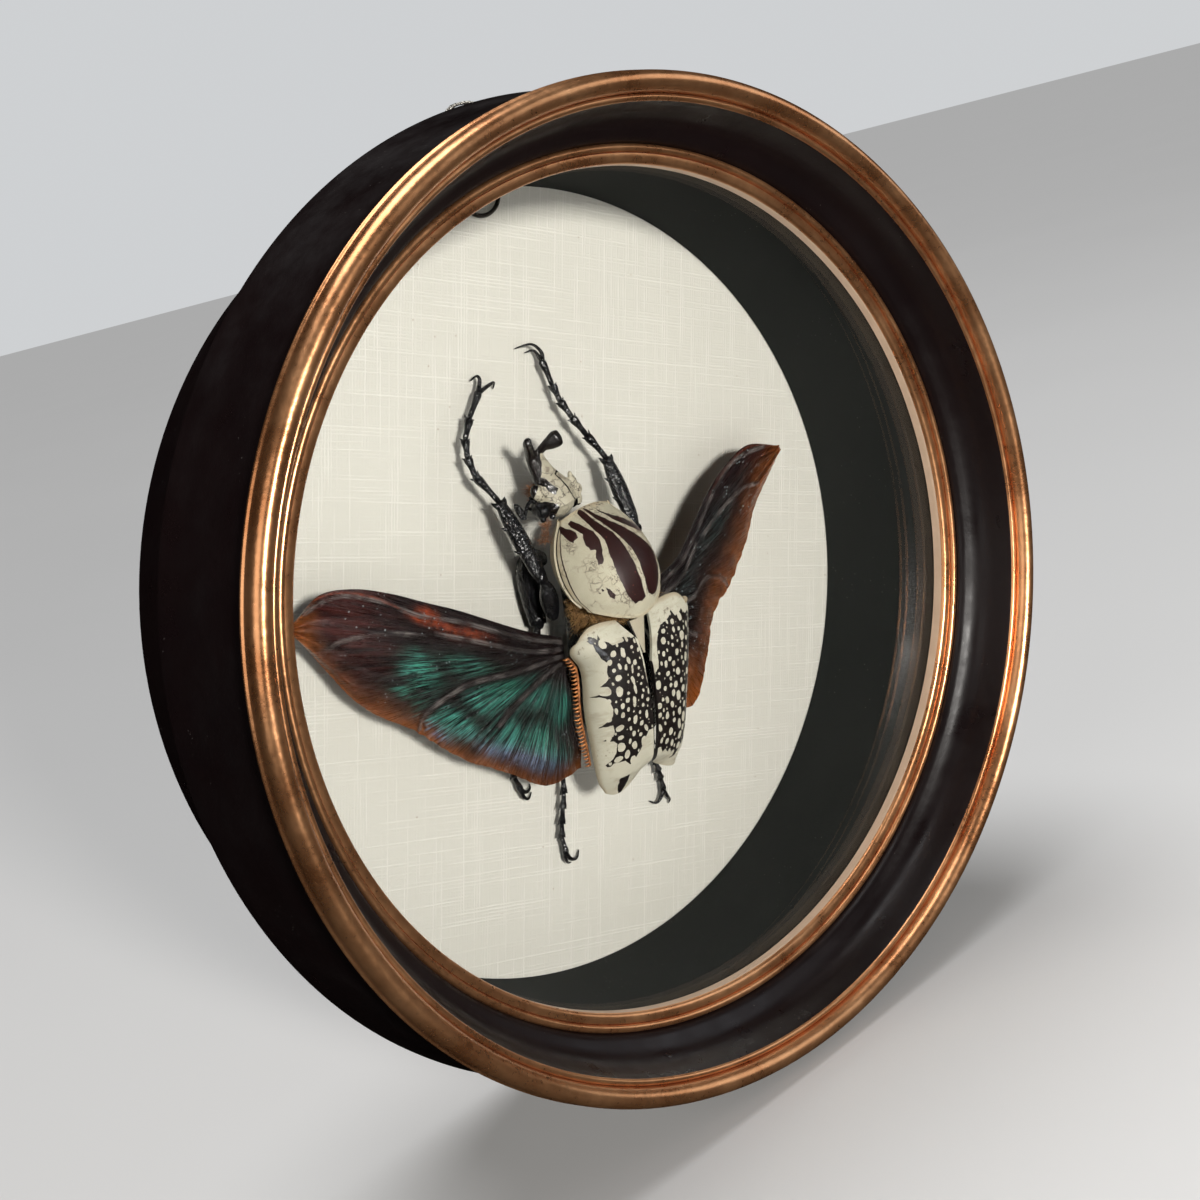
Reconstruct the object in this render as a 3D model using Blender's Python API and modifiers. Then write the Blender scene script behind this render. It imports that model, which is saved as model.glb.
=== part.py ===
"""A goliath beetle with spread wings, mounted in a round, deep, glazed box frame with a black and gilt moulding.

Run with: blender --background --python part.py
Metres, +Z up, +Y towards the wall. The origin is the centre of the flat back.
"""

from math import cos, pi, radians, sin

import bmesh
import bpy
from mathutils import Vector

MM = 0.001
GAP = 0.3                  # clearance between touching pieces, mm

# Driving dimensions, mm
BEAD_R = 105.0             # outer radius of the gilt bead at the front
SIDE_R = 107.0             # radius of the moulding at its back edge
SIGHT_R = 88.9             # radius of the opening in the moulding
BOX_R = 97.5               # outer radius of the box behind the moulding
BOX_IN_R = 92.0            # inner radius of that box
BEAD_D = 62.2              # distance of the bead's widest circle from the wall
BEAD_TUBE = 3.3            # radius of the bead's round section
LIP_D = 46.0               # distance from the wall of the rebate that the glass lies in
MOULD_BACK_D = 31.4        # distance of the moulding's back face from the wall
GLASS_T = 2.0
LINING_T = 0.7
CARD_D = 7.0               # distance of the card's front from the wall
CARD_T = 1.5
RING_STEPS = 56

COLOURS = {
    "black": (0.012, 0.011, 0.012, 0.35, 0.0),
    "gilt": (0.45, 0.22, 0.09, 0.35, 0.9),
    "glass": (0.9, 0.95, 0.93, 0.03, 0.0),
    "lining": (0.02, 0.021, 0.02, 0.9, 0.0),
    "card": (0.75, 0.73, 0.66, 0.9, 0.0),
    "board": (0.30, 0.22, 0.14, 0.9, 0.0),
    "wire": (0.35, 0.34, 0.32, 0.4, 0.9),
    "chitin": (0.015, 0.014, 0.013, 0.3, 0.0),
    "chalk": (0.66, 0.64, 0.55, 0.6, 0.0),
    "wing": (0.10, 0.04, 0.03, 0.25, 0.0),
}


def material(name):
    """The named Principled material, made once."""
    found = bpy.data.materials.get(name)
    if found:
        return found
    made = bpy.data.materials.new(name)
    made.use_nodes = True
    r, g, b, rough, metal = COLOURS[name]
    shader = made.node_tree.nodes["Principled BSDF"]
    shader.inputs["Base Color"].default_value = (r, g, b, 1.0)
    shader.inputs["Roughness"].default_value = rough
    shader.inputs["Metallic"].default_value = metal
    return made


def at(x, height, z):
    """The point x across, height above the card and z up, all in mm, as a place in metres."""
    return Vector((x, -(CARD_D + height), z)) * MM


def lerp(a, b, t):
    return a + (b - a) * t


def along(values, t):
    """The value at t from 0 to 1 in a list of evenly spaced values, joined smoothly."""
    n = len(values) - 1
    i = min(int(t * n), n - 1)
    u = t * n - i
    before, after = values[max(i - 1, 0)], values[min(i + 2, n)]
    a, b = values[i], values[i + 1]
    slope_a, slope_b = (b - before) / 2, (after - a) / 2
    return (a * (2 * u**3 - 3 * u**2 + 1) + slope_a * (u**3 - 2 * u**2 + u)
            + b * (3 * u**2 - 2 * u**3) + slope_b * (u**3 - u**2))


def add(name, mesh, surface):
    """A mesh as a named object of the part, with its material."""
    made = bpy.data.objects.new(name, mesh)
    made.data.materials.append(material(surface))
    PART.objects.link(made)
    return made


def smooth(thing, angle=40):
    thing.data.shade_smooth()
    thing.data.set_sharp_from_angle(angle=radians(angle))
    return thing


# Frame

def turned(name, profile, surface):
    """A closed profile of (radius, distance from the wall) in mm, turned about the line through the frame's centre.
    The profile runs down its outer side first."""
    mesh = bpy.data.meshes.new(name)
    points = [(r * MM, 0, d * MM) for r, d in profile]
    mesh.from_pydata(points, [(i, (i + 1) % len(points)) for i in range(len(points))], [])
    made = add(name, mesh, surface)
    made.rotation_euler = (radians(90), 0, 0)
    turn = made.modifiers.new("turn", "SCREW")
    turn.steps = turn.render_steps = RING_STEPS
    turn.use_merge_vertices = True
    turn.merge_threshold = 0.00001
    return made


def disc(name, radius, back, front, surface):
    """A flat round plate between two distances from the wall, in mm."""
    mesh = bpy.data.meshes.new(name)
    plate = bmesh.new()
    bmesh.ops.create_cone(plate, cap_ends=True, segments=RING_STEPS, radius1=radius * MM, radius2=radius * MM,
                          depth=(front - back) * MM)
    plate.to_mesh(mesh)
    plate.free()
    made = add(name, mesh, surface)
    made.rotation_euler = (radians(90), 0, 0)
    made.location = (0, -(back + front) / 2 * MM, 0)
    return made


def moulding_profile():
    """The moulding's section: bead, side, back, rebate, gilt lip and black ogee."""
    bead_r = BEAD_R - BEAD_TUBE
    bead = [(bead_r + BEAD_TUBE * sin(radians(a)), BEAD_D + BEAD_TUBE * cos(radians(a))) for a in range(0, 121, 30)]
    side = [(BEAD_R - 0.9, BEAD_D - 5.4), (SIDE_R, MOULD_BACK_D)]
    rebate = [(BOX_R + GAP, MOULD_BACK_D), (BOX_R + GAP, LIP_D), (SIGHT_R + 0.1, LIP_D)]
    lip = [(SIGHT_R, LIP_D + 2.6), (SIGHT_R + 2.5, LIP_D + 3.4), (SIGHT_R + 3.4, LIP_D + 4.2)]
    ogee = [(SIGHT_R + 4.6, LIP_D + 5.2), (SIGHT_R + 7.3, LIP_D + 7.5), (SIGHT_R + 8.7, LIP_D + 10.4)]
    fillet = [(bead_r - 3.4, BEAD_D - 1.6), (bead_r - 2.6, BEAD_D + 1.6)]
    return bead + side + rebate + lip + ogee + fillet


def frame():
    smooth(turned("frame_moulding", moulding_profile(), "black"))
    disc("glass_pane", BOX_R - 0.2, LIP_D - GAP - GLASS_T, LIP_D - GAP, "glass")
    front = LIP_D - GAP - GLASS_T - GAP
    smooth(turned("box_ring", [(BOX_R, front), (BOX_R, 0), (BOX_IN_R, 0), (BOX_IN_R, front)], "black"))
    lining_r = BOX_IN_R - GAP
    smooth(turned("wall_lining", [(lining_r, front), (lining_r, CARD_D + GAP), (lining_r - LINING_T, CARD_D + GAP),
                                  (lining_r - LINING_T, front)], "lining"))
    disc("mount_card", lining_r, CARD_D - CARD_T, CARD_D, "card")
    disc("backing_board", lining_r, 0, CARD_D - CARD_T - GAP, "board")


# Tubes

def tube_mesh(name, points, radii, rings=1):
    """A closed tube through points in metres, with a radius in mm at each, as a mesh. rings sets its roundness."""
    path = bpy.data.curves.new(name, "CURVE")
    path.dimensions = "3D"
    path.bevel_depth = MM
    path.bevel_resolution = rings
    path.use_fill_caps = True
    line = path.splines.new("POLY")
    line.points.add(len(points) - 1)
    for spot, place, radius in zip(line.points, points, radii):
        spot.co = (*place, 1)
        spot.radius = radius
    drawn = bpy.data.objects.new(name, path)
    PART.objects.link(drawn)
    bpy.context.view_layer.update()
    mesh = bpy.data.meshes.new_from_object(drawn.evaluated_get(bpy.context.evaluated_depsgraph_get()))
    bpy.data.objects.remove(drawn)
    weld(mesh)
    return mesh


def weld(mesh):
    """Joins a curve's loose caps to its sides."""
    shape = bmesh.new()
    shape.from_mesh(mesh)
    bmesh.ops.remove_doubles(shape, verts=shape.verts, dist=0.000002)
    bmesh.ops.recalc_face_normals(shape, faces=shape.faces)
    shape.to_mesh(mesh)
    shape.free()


def join_to(base, mesh):
    """Joins another closed mesh to base with a Boolean union."""
    tool = bpy.data.objects.new(base.name + "_add", mesh)
    tool.hide_render = True
    tool.display_type = "WIRE"
    TOOLS.objects.link(tool)
    union = base.modifiers.new("join", "BOOLEAN")
    union.operation = "UNION"
    union.object = tool


def curve_through(points, count):
    """count points on one smooth curve through the given ones."""
    xs, ys, zs = ([p[i] for p in points] for i in range(3))
    return [Vector((along(xs, t), along(ys, t), along(zs, t))) for t in (i / (count - 1) for i in range(count))]


def hanger():
    """The steel loop on top of the box that hangs on a nail, and the wire's inner loop against the card."""
    loop_d, middle, half, top = 13.0, 5.0, 6.5, BOX_R + 11.4
    arch = [(-half, BOX_R + 1.0), (-half - 0.6, BOX_R + 5.5), (-half * 0.6, top - 1.0), (0, top),
            (half * 0.6, top - 1.0), (half + 0.6, BOX_R + 5.5), (half, BOX_R + 1.0)]
    path = curve_through([Vector((middle + x, -loop_d, z)) * MM for x, z in arch], 17)
    wire = add("hanger_loop", tube_mesh("hanger_loop", path, [0.6] * 17, 0), "wire")
    smooth(wire, 60)
    inner_r = BOX_IN_R - GAP - LINING_T
    start, across, drop = 1.2, 5.4, 5.2
    ring = [at(start + across - across * cos(a), 1.1, inner_r - GAP - 0.8 - drop * sin(a))
            for a in (pi * i / 10 for i in range(11))]
    smooth(add("wire_loop", tube_mesh("wire_loop", ring, [0.55] * 11, 1), "wire"), 60)


# Beetle

CASE_TOP_Z = -5.8
CASE_END_Z = -47.2
CASE_WIDE = 17.2           # width of one case
CASE_OPEN = {-1: 0.0, 1: 3.2}   # degrees that each case is swung out about its hind end
CASE_NOTCH = {-1: (3.6, 0.14), 1: (3.4, 0.28)}   # cut of the base beside the scutellum: width, share of length
CASE_WIDTHS = {            # share of the width along each case, with the dip behind its shoulder
    -1: [0.80, 0.85, 0.73, 0.74, 0.79, 0.815, 0.815, 0.81, 0.80, 0.77, 0.70],
    1: [0.90, 0.98, 0.95, 0.91, 0.87, 0.83, 0.79, 0.76, 0.73, 0.68, 0.58],
}
CASE_MARGINS = {           # height of each case's outer edge along it
    -1: [20.6, 18.6, 18.0, 17.6, 17.0, 16.2, 15.2, 14.6],
    1: [22.6, 21.0, 20.2, 19.2, 18.0, 16.8, 15.4, 14.6],
}
SHELL_T = 0.8


def sheet(name, across, down, place, thick, surface):
    """An open surface place(s, t), with s and t from 0 to 1, given thickness inwards."""
    mesh = bpy.data.meshes.new(name)
    grid = bmesh.new()
    bmesh.ops.create_grid(grid, x_segments=across, y_segments=down, size=0.5)
    for v in grid.verts:
        v.co = place(v.co.x + 0.5, v.co.y + 0.5)
    grid.to_mesh(mesh)
    grid.free()
    made = add(name, mesh, surface)
    solid = made.modifiers.new("thickness", "SOLIDIFY")
    solid.thickness = thick * MM
    solid.offset = -1
    return made


def wing_case(side):
    """One hardened wing case: flat on top, steep at its outer side, with a rounded shoulder and end."""
    def place(s, t):
        z = lerp(CASE_TOP_Z, CASE_END_Z, t)
        width = CASE_WIDE * along(CASE_WIDTHS[side], t)
        notch, reach = CASE_NOTCH[side]
        late = max(0.0, (t - 0.82) / 0.18) ** 1.5
        inner = 0.25 + notch * max(0.0, 1 - t / reach) + 1.2 * late
        x = lerp(inner, width, s)
        crest = along([24.0, 25.6, 25.8, 25.2, 24.2, 22.6, 20.2, 16.6], t)
        margin = along(CASE_MARGINS[side], t)
        z += 0.9 * (1 - t) ** 8 * sin(pi * s) + late * (4.0 * (1 - s) ** 1.6 + 1.8 * s**6)
        turn = radians(CASE_OPEN[side])
        up = z - CASE_END_Z
        swung = x * cos(turn) + up * sin(turn)
        return at(side * swung, lerp(margin, crest, (1 - s**2.8) ** 0.55), CASE_END_Z + up * cos(turn) - x * sin(turn))
    made = sheet("wing_case_" + ("left" if side < 0 else "right"), 8, 11, place, SHELL_T, "chalk")
    if side < 0:
        made.modifiers["thickness"].offset = 1
    return smooth(made)


def shield():
    """The pronotum, the domed plate behind the head."""
    def place(s, t):
        u = 2 * s - 1
        half = along([7.0, 9.6, 11.4, 12.3, 12.5, 12.0, 10.6], t)
        rear = -2.2 - 4.6 * (1 - abs(u) ** 1.6)
        front = 17.6 + 1.5 * (1 - u * u)
        z = lerp(front, rear, t)
        crest = along([17.0, 21.6, 25.2, 27.8, 28.8, 28.4, 26.6], t)
        margin = along([15.4, 16.2, 17.0, 17.8, 18.8, 20.2, 21.8], t)
        return at(SHIELD_X + u * half, lerp(margin, crest, (1 - abs(u) ** 2.3) ** 0.75), z)
    made = sheet("shield", 13, 9, place, SHELL_T, "chalk")
    return smooth(made)


SHIELD_X = 1.8


def scutellum():
    """The small triangular plate between the wing cases."""
    def place(s, t):
        half = lerp(2.5, 0.25, t)
        middle = lerp(1.9, 1.1, t)
        return at(middle + (2 * s - 1) * half, lerp(24.2, 24.9, t) + 0.35 * sin(pi * s), lerp(-7.4, -15.2, t))
    return smooth(sheet("scutellum", 3, 4, place, 0.9, "chalk"))


def torso():
    """The thorax and abdomen under the plates, one soft form from a coarse cage."""
    mesh = bpy.data.meshes.new("torso")
    cage = bmesh.new()
    bmesh.ops.create_cube(cage, size=1.0)
    bmesh.ops.subdivide_edges(cage, edges=cage.edges, cuts=2, use_grid_fill=True)
    for v in cage.verts:
        t = 0.5 - v.co.z
        half = along([5.6, 8.6, 12.0, 9.6], t)
        top = along([12.0, 19.6, 20.0, 14.6], t)
        low = along([8.6, 7.8, 6.4, 9.5], t)
        v.co = at(2 * v.co.x * half, lerp(low, top, 0.5 - v.co.y), lerp(15.8, -41.0, t))
    cage.to_mesh(mesh)
    cage.free()
    made = add("torso", mesh, "chitin")
    soft = made.modifiers.new("soft", "SUBSURF")
    soft.levels = soft.render_levels = 1
    return smooth(made, 60)


HEAD_X = -2.4
HORN_LEAN = -1.6           # how far the horn stands to the left of the head's middle


def head():
    """The head capsule with its forked horn, side lobes and eyes, joined as one solid."""
    mesh = bpy.data.meshes.new("head")
    cage = bmesh.new()
    bmesh.ops.create_cube(cage, size=1.0)
    bmesh.ops.subdivide_edges(cage, edges=cage.edges, cuts=2, use_grid_fill=True)
    for v in cage.verts:
        t = v.co.z + 0.5
        half = along([5.6, 5.2, 3.6, 2.6], t)
        top = along([16.4, 15.4, 13.6, 11.8], t)
        low = along([8.6, 8.4, 8.0, 7.6], t)
        v.co = at(HEAD_X + HORN_LEAN * t + 2 * v.co.x * half, lerp(low, top, 0.5 - v.co.y), lerp(18.8, 33.0, t))
    cage.to_mesh(mesh)
    cage.free()
    made = add("head", mesh, "chalk")
    soft = made.modifiers.new("soft", "SUBSURF")
    soft.levels = soft.render_levels = 1
    for side in (-1, 1):
        horn = [(0.4, 9.8, 31.0), (1.5, 10.8, 33.4), (2.6, 12.6, 34.8), (3.9, 14.4, 36.0), (4.7, 15.6, 36.4)]
        spots = [at(HEAD_X + HORN_LEAN + side * x, h, z) for x, h, z in horn]
        join_to(made, tube_mesh("horn", spots, [1.6, 1.3, 1.2, 1.5, 1.0]))
        lobe = [(2.6, 12.6, 23.4), (5.2, 13.6, 25.0), (7.2, 14.4, 26.0)]
        spots = [at(HEAD_X - 0.8 + side * x, h, z) for x, h, z in lobe]
        join_to(made, tube_mesh("lobe", spots, [1.9, 1.6, 0.9]))
        eye = [(3.2, 12.0, 20.8), (4.8, 12.2, 21.2), (6.0, 12.2, 21.4)]
        spots = [at(HEAD_X + side * x, h, z) for x, h, z in eye]
        join_to(made, tube_mesh("eye", spots, [1.7, 1.9, 1.1]))
    return smooth(made, 60)


def antenna(side):
    """An antenna: a thin bent stem with a club."""
    route = [(6.2, 9.6, 22.4), (6.7, 9.2, 20.8), (7.1, 8.6, 19.4), (7.4, 8.2, 21.0), (7.9, 7.8, 23.0)]
    spots = [at(HEAD_X + side * x, h, z) for x, h, z in route]
    name = "antenna_" + ("left" if side < 0 else "right")
    return smooth(add(name, tube_mesh(name, spots, [0.45, 0.4, 0.55, 0.9, 0.6], 0), "chitin"), 60)


# Each leg: thigh and shin points as (x, height, z) on the right side, then the foot's bend, and the claws' spread
LEGS = {
    "front_right": (1, [(10.4, 10.4, -1.0), (13.4, 11.4, 3.4), (17.4, 12.4, 8.4)], (17.4, 8.0, 25.6),
                    [(14.3, 6.8, 31.8), (11.6, 5.2, 39.9), (11.9, 3.4, 45.0), (11.4, 2.2, 49.3)], (-0.55, 0.84)),
    "front_left": (-1, [(10.2, 10.6, -3.6), (11.0, 11.8, 0.4), (11.8, 13.2, 4.6)], (14.6, 8.2, 25.2),
                   [(17.6, 6.8, 31.0), (16.8, 5.4, 38.0), (13.6, 4.0, 42.7), (7.9, 2.2, 47.4)], (-0.4, 0.92)),
    "middle_right": (1, [(4.0, 3.2, -9.0), (11.0, 4.6, -7.0), (18.0, 6.4, -8.0)], (21.6, 4.0, -22.0),
                     [(23.2, 3.4, -25.0), (24.0, 2.8, -28.0), (24.4, 2.4, -31.0), (24.0, 2.0, -33.6)], (-0.3, -0.95)),
    "middle_left": (-1, [(3.4, 3.0, 8.0), (8.6, 3.6, 7.6), (10.4, 4.2, -5.4)], (21.0, 4.0, -23.0),
                    [(24.4, 3.4, -27.4), (26.2, 2.8, -32.0), (26.6, 2.4, -36.4), (25.6, 2.0, -40.4)], (-0.5, -0.86)),
    "hind_right": (1, [(4.0, 3.2, -18.0), (10.0, 3.4, -26.0), (15.0, 3.6, -33.0)], (12.4, 3.4, -45.0),
                   [(12.8, 3.0, -48.6), (13.4, 2.6, -52.0), (13.8, 2.2, -54.8), (13.9, 2.0, -57.2)], (0.1, -1.0)),
    "hind_left": (-1, [(4.0, 3.2, -18.0), (10.0, 3.4, -25.0), (15.6, 3.6, -30.0)], (14.6, 3.6, -42.0),
                  [(15.6, 3.2, -46.6), (17.6, 2.8, -51.4), (18.8, 2.4, -56.0), (17.8, 2.0, -59.6)], (-0.7, -0.7)),
}


def leg(name, side, thigh, shin_end, foot, claw_way):
    """A leg as one solid: thigh, shin with two spurs, a foot of beaded joints, and two hooked claws."""
    spots, radii = [], []
    for spot, radius in zip(curve_through([Vector(p) for p in thigh], 5), [1.2, 1.8, 2.2, 2.0, 1.4]):
        spots.append(spot)
        radii.append(radius)
    knee, end = Vector(thigh[-1]), Vector(shin_end)
    shin = 2.2 if name.startswith("front") else 1.5
    for t, radius in ((0.12, 1.3), (0.35, shin), (0.8, shin), (0.97, shin)):
        spots.append(knee.lerp(end, t))
        radii.append(radius)
    chain = [end] + [Vector(p) for p in foot]
    for i, spot in enumerate(curve_through(chain, 9)[1:]):
        spots.append(spot)
        radii.append(0.95 if i % 2 == 0 else 0.62)
    places = [at(side * p.x, p.y, p.z) for p in spots]
    made = add("leg_" + name, tube_mesh("leg_" + name, places, radii, 1), "chitin")
    tip = Vector(foot[-1])
    way = Vector((claw_way[0], 0, claw_way[1])).normalized()
    out = Vector((-way.z, 0, way.x))
    for turn in (-1, 1):
        hook = [tip - way * 0.8, tip + way * 1.2 + out * turn * 1.0, tip + way * 2.6 + out * turn * 2.3,
                tip + way * 3.2 + out * turn * 3.6 - Vector((0, 1.2, 0))]
        join_to(made, tube_mesh("claw", [at(side * p.x, p.y, p.z) for p in hook], [0.6, 0.5, 0.42, 0.16], 0))
    spur_way = (end - knee).normalized()
    for turn in (-1, 1):
        spur = [end - spur_way * 1.1, end + spur_way * 0.5 + Vector((turn * 2.1, 0.1 * turn, 0)),
                end + spur_way * 1.3 + Vector((turn * 3.2, 0.2 * turn, 0))]
        join_to(made, tube_mesh("spur", [at(side * p.x, p.y, p.z) for p in spur], [0.8, 0.5, 0.15], 0))
    return smooth(made, 60)


# Edges of the flight wings, as (distance from the midline, z), from the body to the tip
LEADING = {
    -1: [(12.6, -7.0), (20.5, -2.5), (33.0, 6.4), (41.0, 11.4), (49.0, 16.4), (57.0, 20.2), (65.0, 21.6), (72.8, 18.0)],
    1: [(12.6, -7.0), (19.5, -4.5), (27.0, -2.6), (34.5, 3.5), (41.5, 9.4), (49.0, 13.8), (58.0, 16.4), (68.4, 13.2)],
}
TRAILING = {
    -1: [(14.0, -38.6), (24.5, -38.4), (34.0, -31.0), (44.0, -23.2), (53.5, -12.6), (62.5, -4.2), (68.0, 5.0),
         (73.4, 16.4)],
    1: [(15.8, -36.6), (22.6, -37.6), (29.0, -29.2), (34.5, -19.4), (42.4, -14.0), (50.6, -6.0), (56.4, 1.6),
        (68.8, 12.0)],
}
WING_ROOT = (12.4, -11.0)
SEEN_H = 12.0              # both outlines were measured along one slanting line of sight, at this height
SLANT_X, SLANT_Z = 0.737, -0.313


def wing_place(side, s, t):
    """A point of a flight wing: s runs out from the body, t from the front edge to the back edge.
    The membrane folds like a fan, with its pleats running out from the root."""
    lead = Vector([along([p[i] for p in LEADING[side]], s) for i in (0, 1)])
    trail = Vector([along([p[i] for p in TRAILING[side]], s) for i in (0, 1)])
    spot = lead.lerp(trail, t)
    reach = min(1.0, (spot - Vector(WING_ROOT)).length / 60)
    pleat = 0.9 * sin(t * 5.5 * pi) * reach ** 0.5
    height = lerp(15.0, 10.5, s) - 3.4 * t * (1 - 0.5 * s) + 1.6 * sin(pi * s) + pleat
    below = (SEEN_H - height) * min(1.0, 4 * s)
    return at(side * spot.x + SLANT_X * below, height, spot.y + SLANT_Z * below)


def flight_wing(side):
    def place(s, t):
        return wing_place(side, s, t)
    made = sheet("flight_wing_" + ("left" if side < 0 else "right"), 10, 12, place, 0.35, "wing")
    if side < 0:
        made.modifiers["thickness"].offset = 1
    return smooth(made, 60)


def pin():
    """The short pin between the card and the thorax that carries the beetle."""
    mesh = bpy.data.meshes.new("mounting_pin")
    post = bmesh.new()
    bmesh.ops.create_cone(post, cap_ends=True, segments=10, radius1=0.8 * MM, radius2=0.8 * MM, depth=6.5 * MM)
    post.to_mesh(mesh)
    post.free()
    made = add("mounting_pin", mesh, "wire")
    made.rotation_euler = (radians(90), 0, 0)
    made.location = at(0, 3.6, -12.0)
    return made


def beetle():
    torso()
    head()
    shield()
    scutellum()
    for side in (-1, 1):
        wing_case(side)
        flight_wing(side)
        antenna(side)
    for name, values in LEGS.items():
        leg(name, *values)
    pin()


for old in list(bpy.data.objects):
    bpy.data.objects.remove(old)
PART = bpy.data.collections.new("framed_goliath_beetle")
TOOLS = bpy.data.collections.new("joins")
for group in (PART, TOOLS):
    bpy.context.scene.collection.children.link(group)
frame()
hanger()
beetle()
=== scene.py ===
"""Looks of a goliath beetle with spread wings in a round, deep, glazed box frame."""

from math import cos, pi, radians, sin

import bpy
import numpy as np
from mathutils import Matrix, Vector

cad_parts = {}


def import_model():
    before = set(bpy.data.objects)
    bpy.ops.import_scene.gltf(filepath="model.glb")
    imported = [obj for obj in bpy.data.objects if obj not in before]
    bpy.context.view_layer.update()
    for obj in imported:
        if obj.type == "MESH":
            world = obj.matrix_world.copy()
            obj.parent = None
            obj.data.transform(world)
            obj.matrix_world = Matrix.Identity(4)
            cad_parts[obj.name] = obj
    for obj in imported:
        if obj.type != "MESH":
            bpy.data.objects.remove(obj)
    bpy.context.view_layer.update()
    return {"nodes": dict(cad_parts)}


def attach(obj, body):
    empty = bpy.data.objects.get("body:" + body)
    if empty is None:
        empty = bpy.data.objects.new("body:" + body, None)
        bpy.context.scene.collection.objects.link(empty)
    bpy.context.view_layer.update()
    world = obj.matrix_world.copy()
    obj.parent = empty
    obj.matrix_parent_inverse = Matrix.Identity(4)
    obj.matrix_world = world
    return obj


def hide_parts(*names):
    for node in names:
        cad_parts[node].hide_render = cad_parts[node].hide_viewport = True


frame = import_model()

MM = 0.001
SIDES = {-1: "left", 1: "right"}
CARD_D = 7.0               # distance of the card's front from the wall, mm
BOX_FRONT = 43.4           # distance of the box's front edge from the wall
GLASS_BACK, GLASS_FRONT = 43.7, 45.7
MOULD_BACK = 31.4
BOX_R, BOX_IN_R = 97.5, 92.0
LINING_R, LINING_IN_R = 91.7, 91.0
CARD_R, GLASS_R = 91.6, 97.3
UP = (0.0, 1.0, 0.0)       # away from the card, in (x, height, z)
HUB_R = 0.02               # the pinhole left in the middle of a turned disc
PLATE_T = 0.8              # thickness of the pronotum, wing cases and scutellum
FILM_T = 0.22              # thickness of a flight wing
SKIRT_T = 0.5              # thickness of the pronotum's underside
INK_EDGE = 0.16            # width over which ink fades at its edge
FAR = 1e9                  # a distance larger than any in the part
rng = np.random.default_rng(11)


# Shape helpers. Places are (x across, height above the card, z up) in mm.

def world(points):
    """Places in mm as points in metres."""
    p = np.asarray(points, float)
    return np.stack([p[..., 0], -(CARD_D + p[..., 1]), p[..., 2]], -1) * MM


def along(values, t):
    """The value at t from 0 to 1 in a list of evenly spaced values or places, joined smoothly."""
    v = np.asarray(values, float)
    n = len(v) - 1
    t = np.clip(np.asarray(t, float), 0, 1) * n
    i = np.minimum(t.astype(int), n - 1)
    u = t - i
    if v.ndim > 1:
        u = u[..., None]
    a, b = v[i], v[i + 1]
    slope_a = (b - v[np.maximum(i - 1, 0)]) / 2
    slope_b = (v[np.minimum(i + 2, n)] - a) / 2
    return (a * (2 * u**3 - 3 * u**2 + 1) + slope_a * (u**3 - 2 * u**2 + u)
            + b * (3 * u**2 - 2 * u**3) + slope_b * (u**3 - u**2))


def lerp(a, b, t):
    return a + (b - a) * t


def step(a, b, x):
    """0 below a, 1 above b, smooth between."""
    u = np.clip((x - a) / (b - a), 0, 1)
    return u * u * (3 - 2 * u)


def mesh_of(name, points, faces, material, nodes=(), attributes=None, face_materials=None):
    """A piece of the part from points in metres, with its looks and the solids it stands for."""
    made = bpy.data.meshes.new(name)
    if isinstance(faces, np.ndarray):
        made.vertices.add(len(points))
        made.vertices.foreach_set("co", np.asarray(points, np.float32).ravel())
        made.loops.add(faces.size)
        made.loops.foreach_set("vertex_index", faces.astype(np.int32).ravel())
        made.polygons.add(len(faces))
        starts = np.arange(0, faces.size, faces.shape[1], dtype=np.int32)
        made.polygons.foreach_set("loop_start", starts)
        made.update(calc_edges=True)
        made.validate()
    else:
        made.from_pydata([tuple(p) for p in points], [], faces)
    for key, values in (attributes or {}).items():
        layer = made.attributes.new(key, "FLOAT", "POINT")
        layer.data.foreach_set("value", np.asarray(values, np.float32).ravel())
    for one in (material if isinstance(material, (list, tuple)) else [material]):
        made.materials.append(one)
    if face_materials is not None:
        made.polygons.foreach_set("material_index", np.asarray(face_materials, np.int32))
    made.shade_smooth()
    thing = bpy.data.objects.new(name, made)
    bpy.context.scene.collection.objects.link(thing)
    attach(thing, "root")
    if nodes:
        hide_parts(*nodes)
    return thing


def quads(rows, columns, start=0):
    """The faces of a grid of rows by columns."""
    i, j = np.meshgrid(np.arange(rows - 1), np.arange(columns - 1), indexing="ij")
    near, far = start + i * columns + j, start + (i + 1) * columns + j
    return np.stack([near, far, far + 1, near + 1], -1).reshape(-1, 4)


def normals(grid):
    d_row = np.gradient(grid, axis=0)
    d_column = np.gradient(grid, axis=1)
    n = np.cross(d_row, d_column)
    return n / np.maximum(np.linalg.norm(n, axis=-1, keepdims=True), 1e-12)


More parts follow.
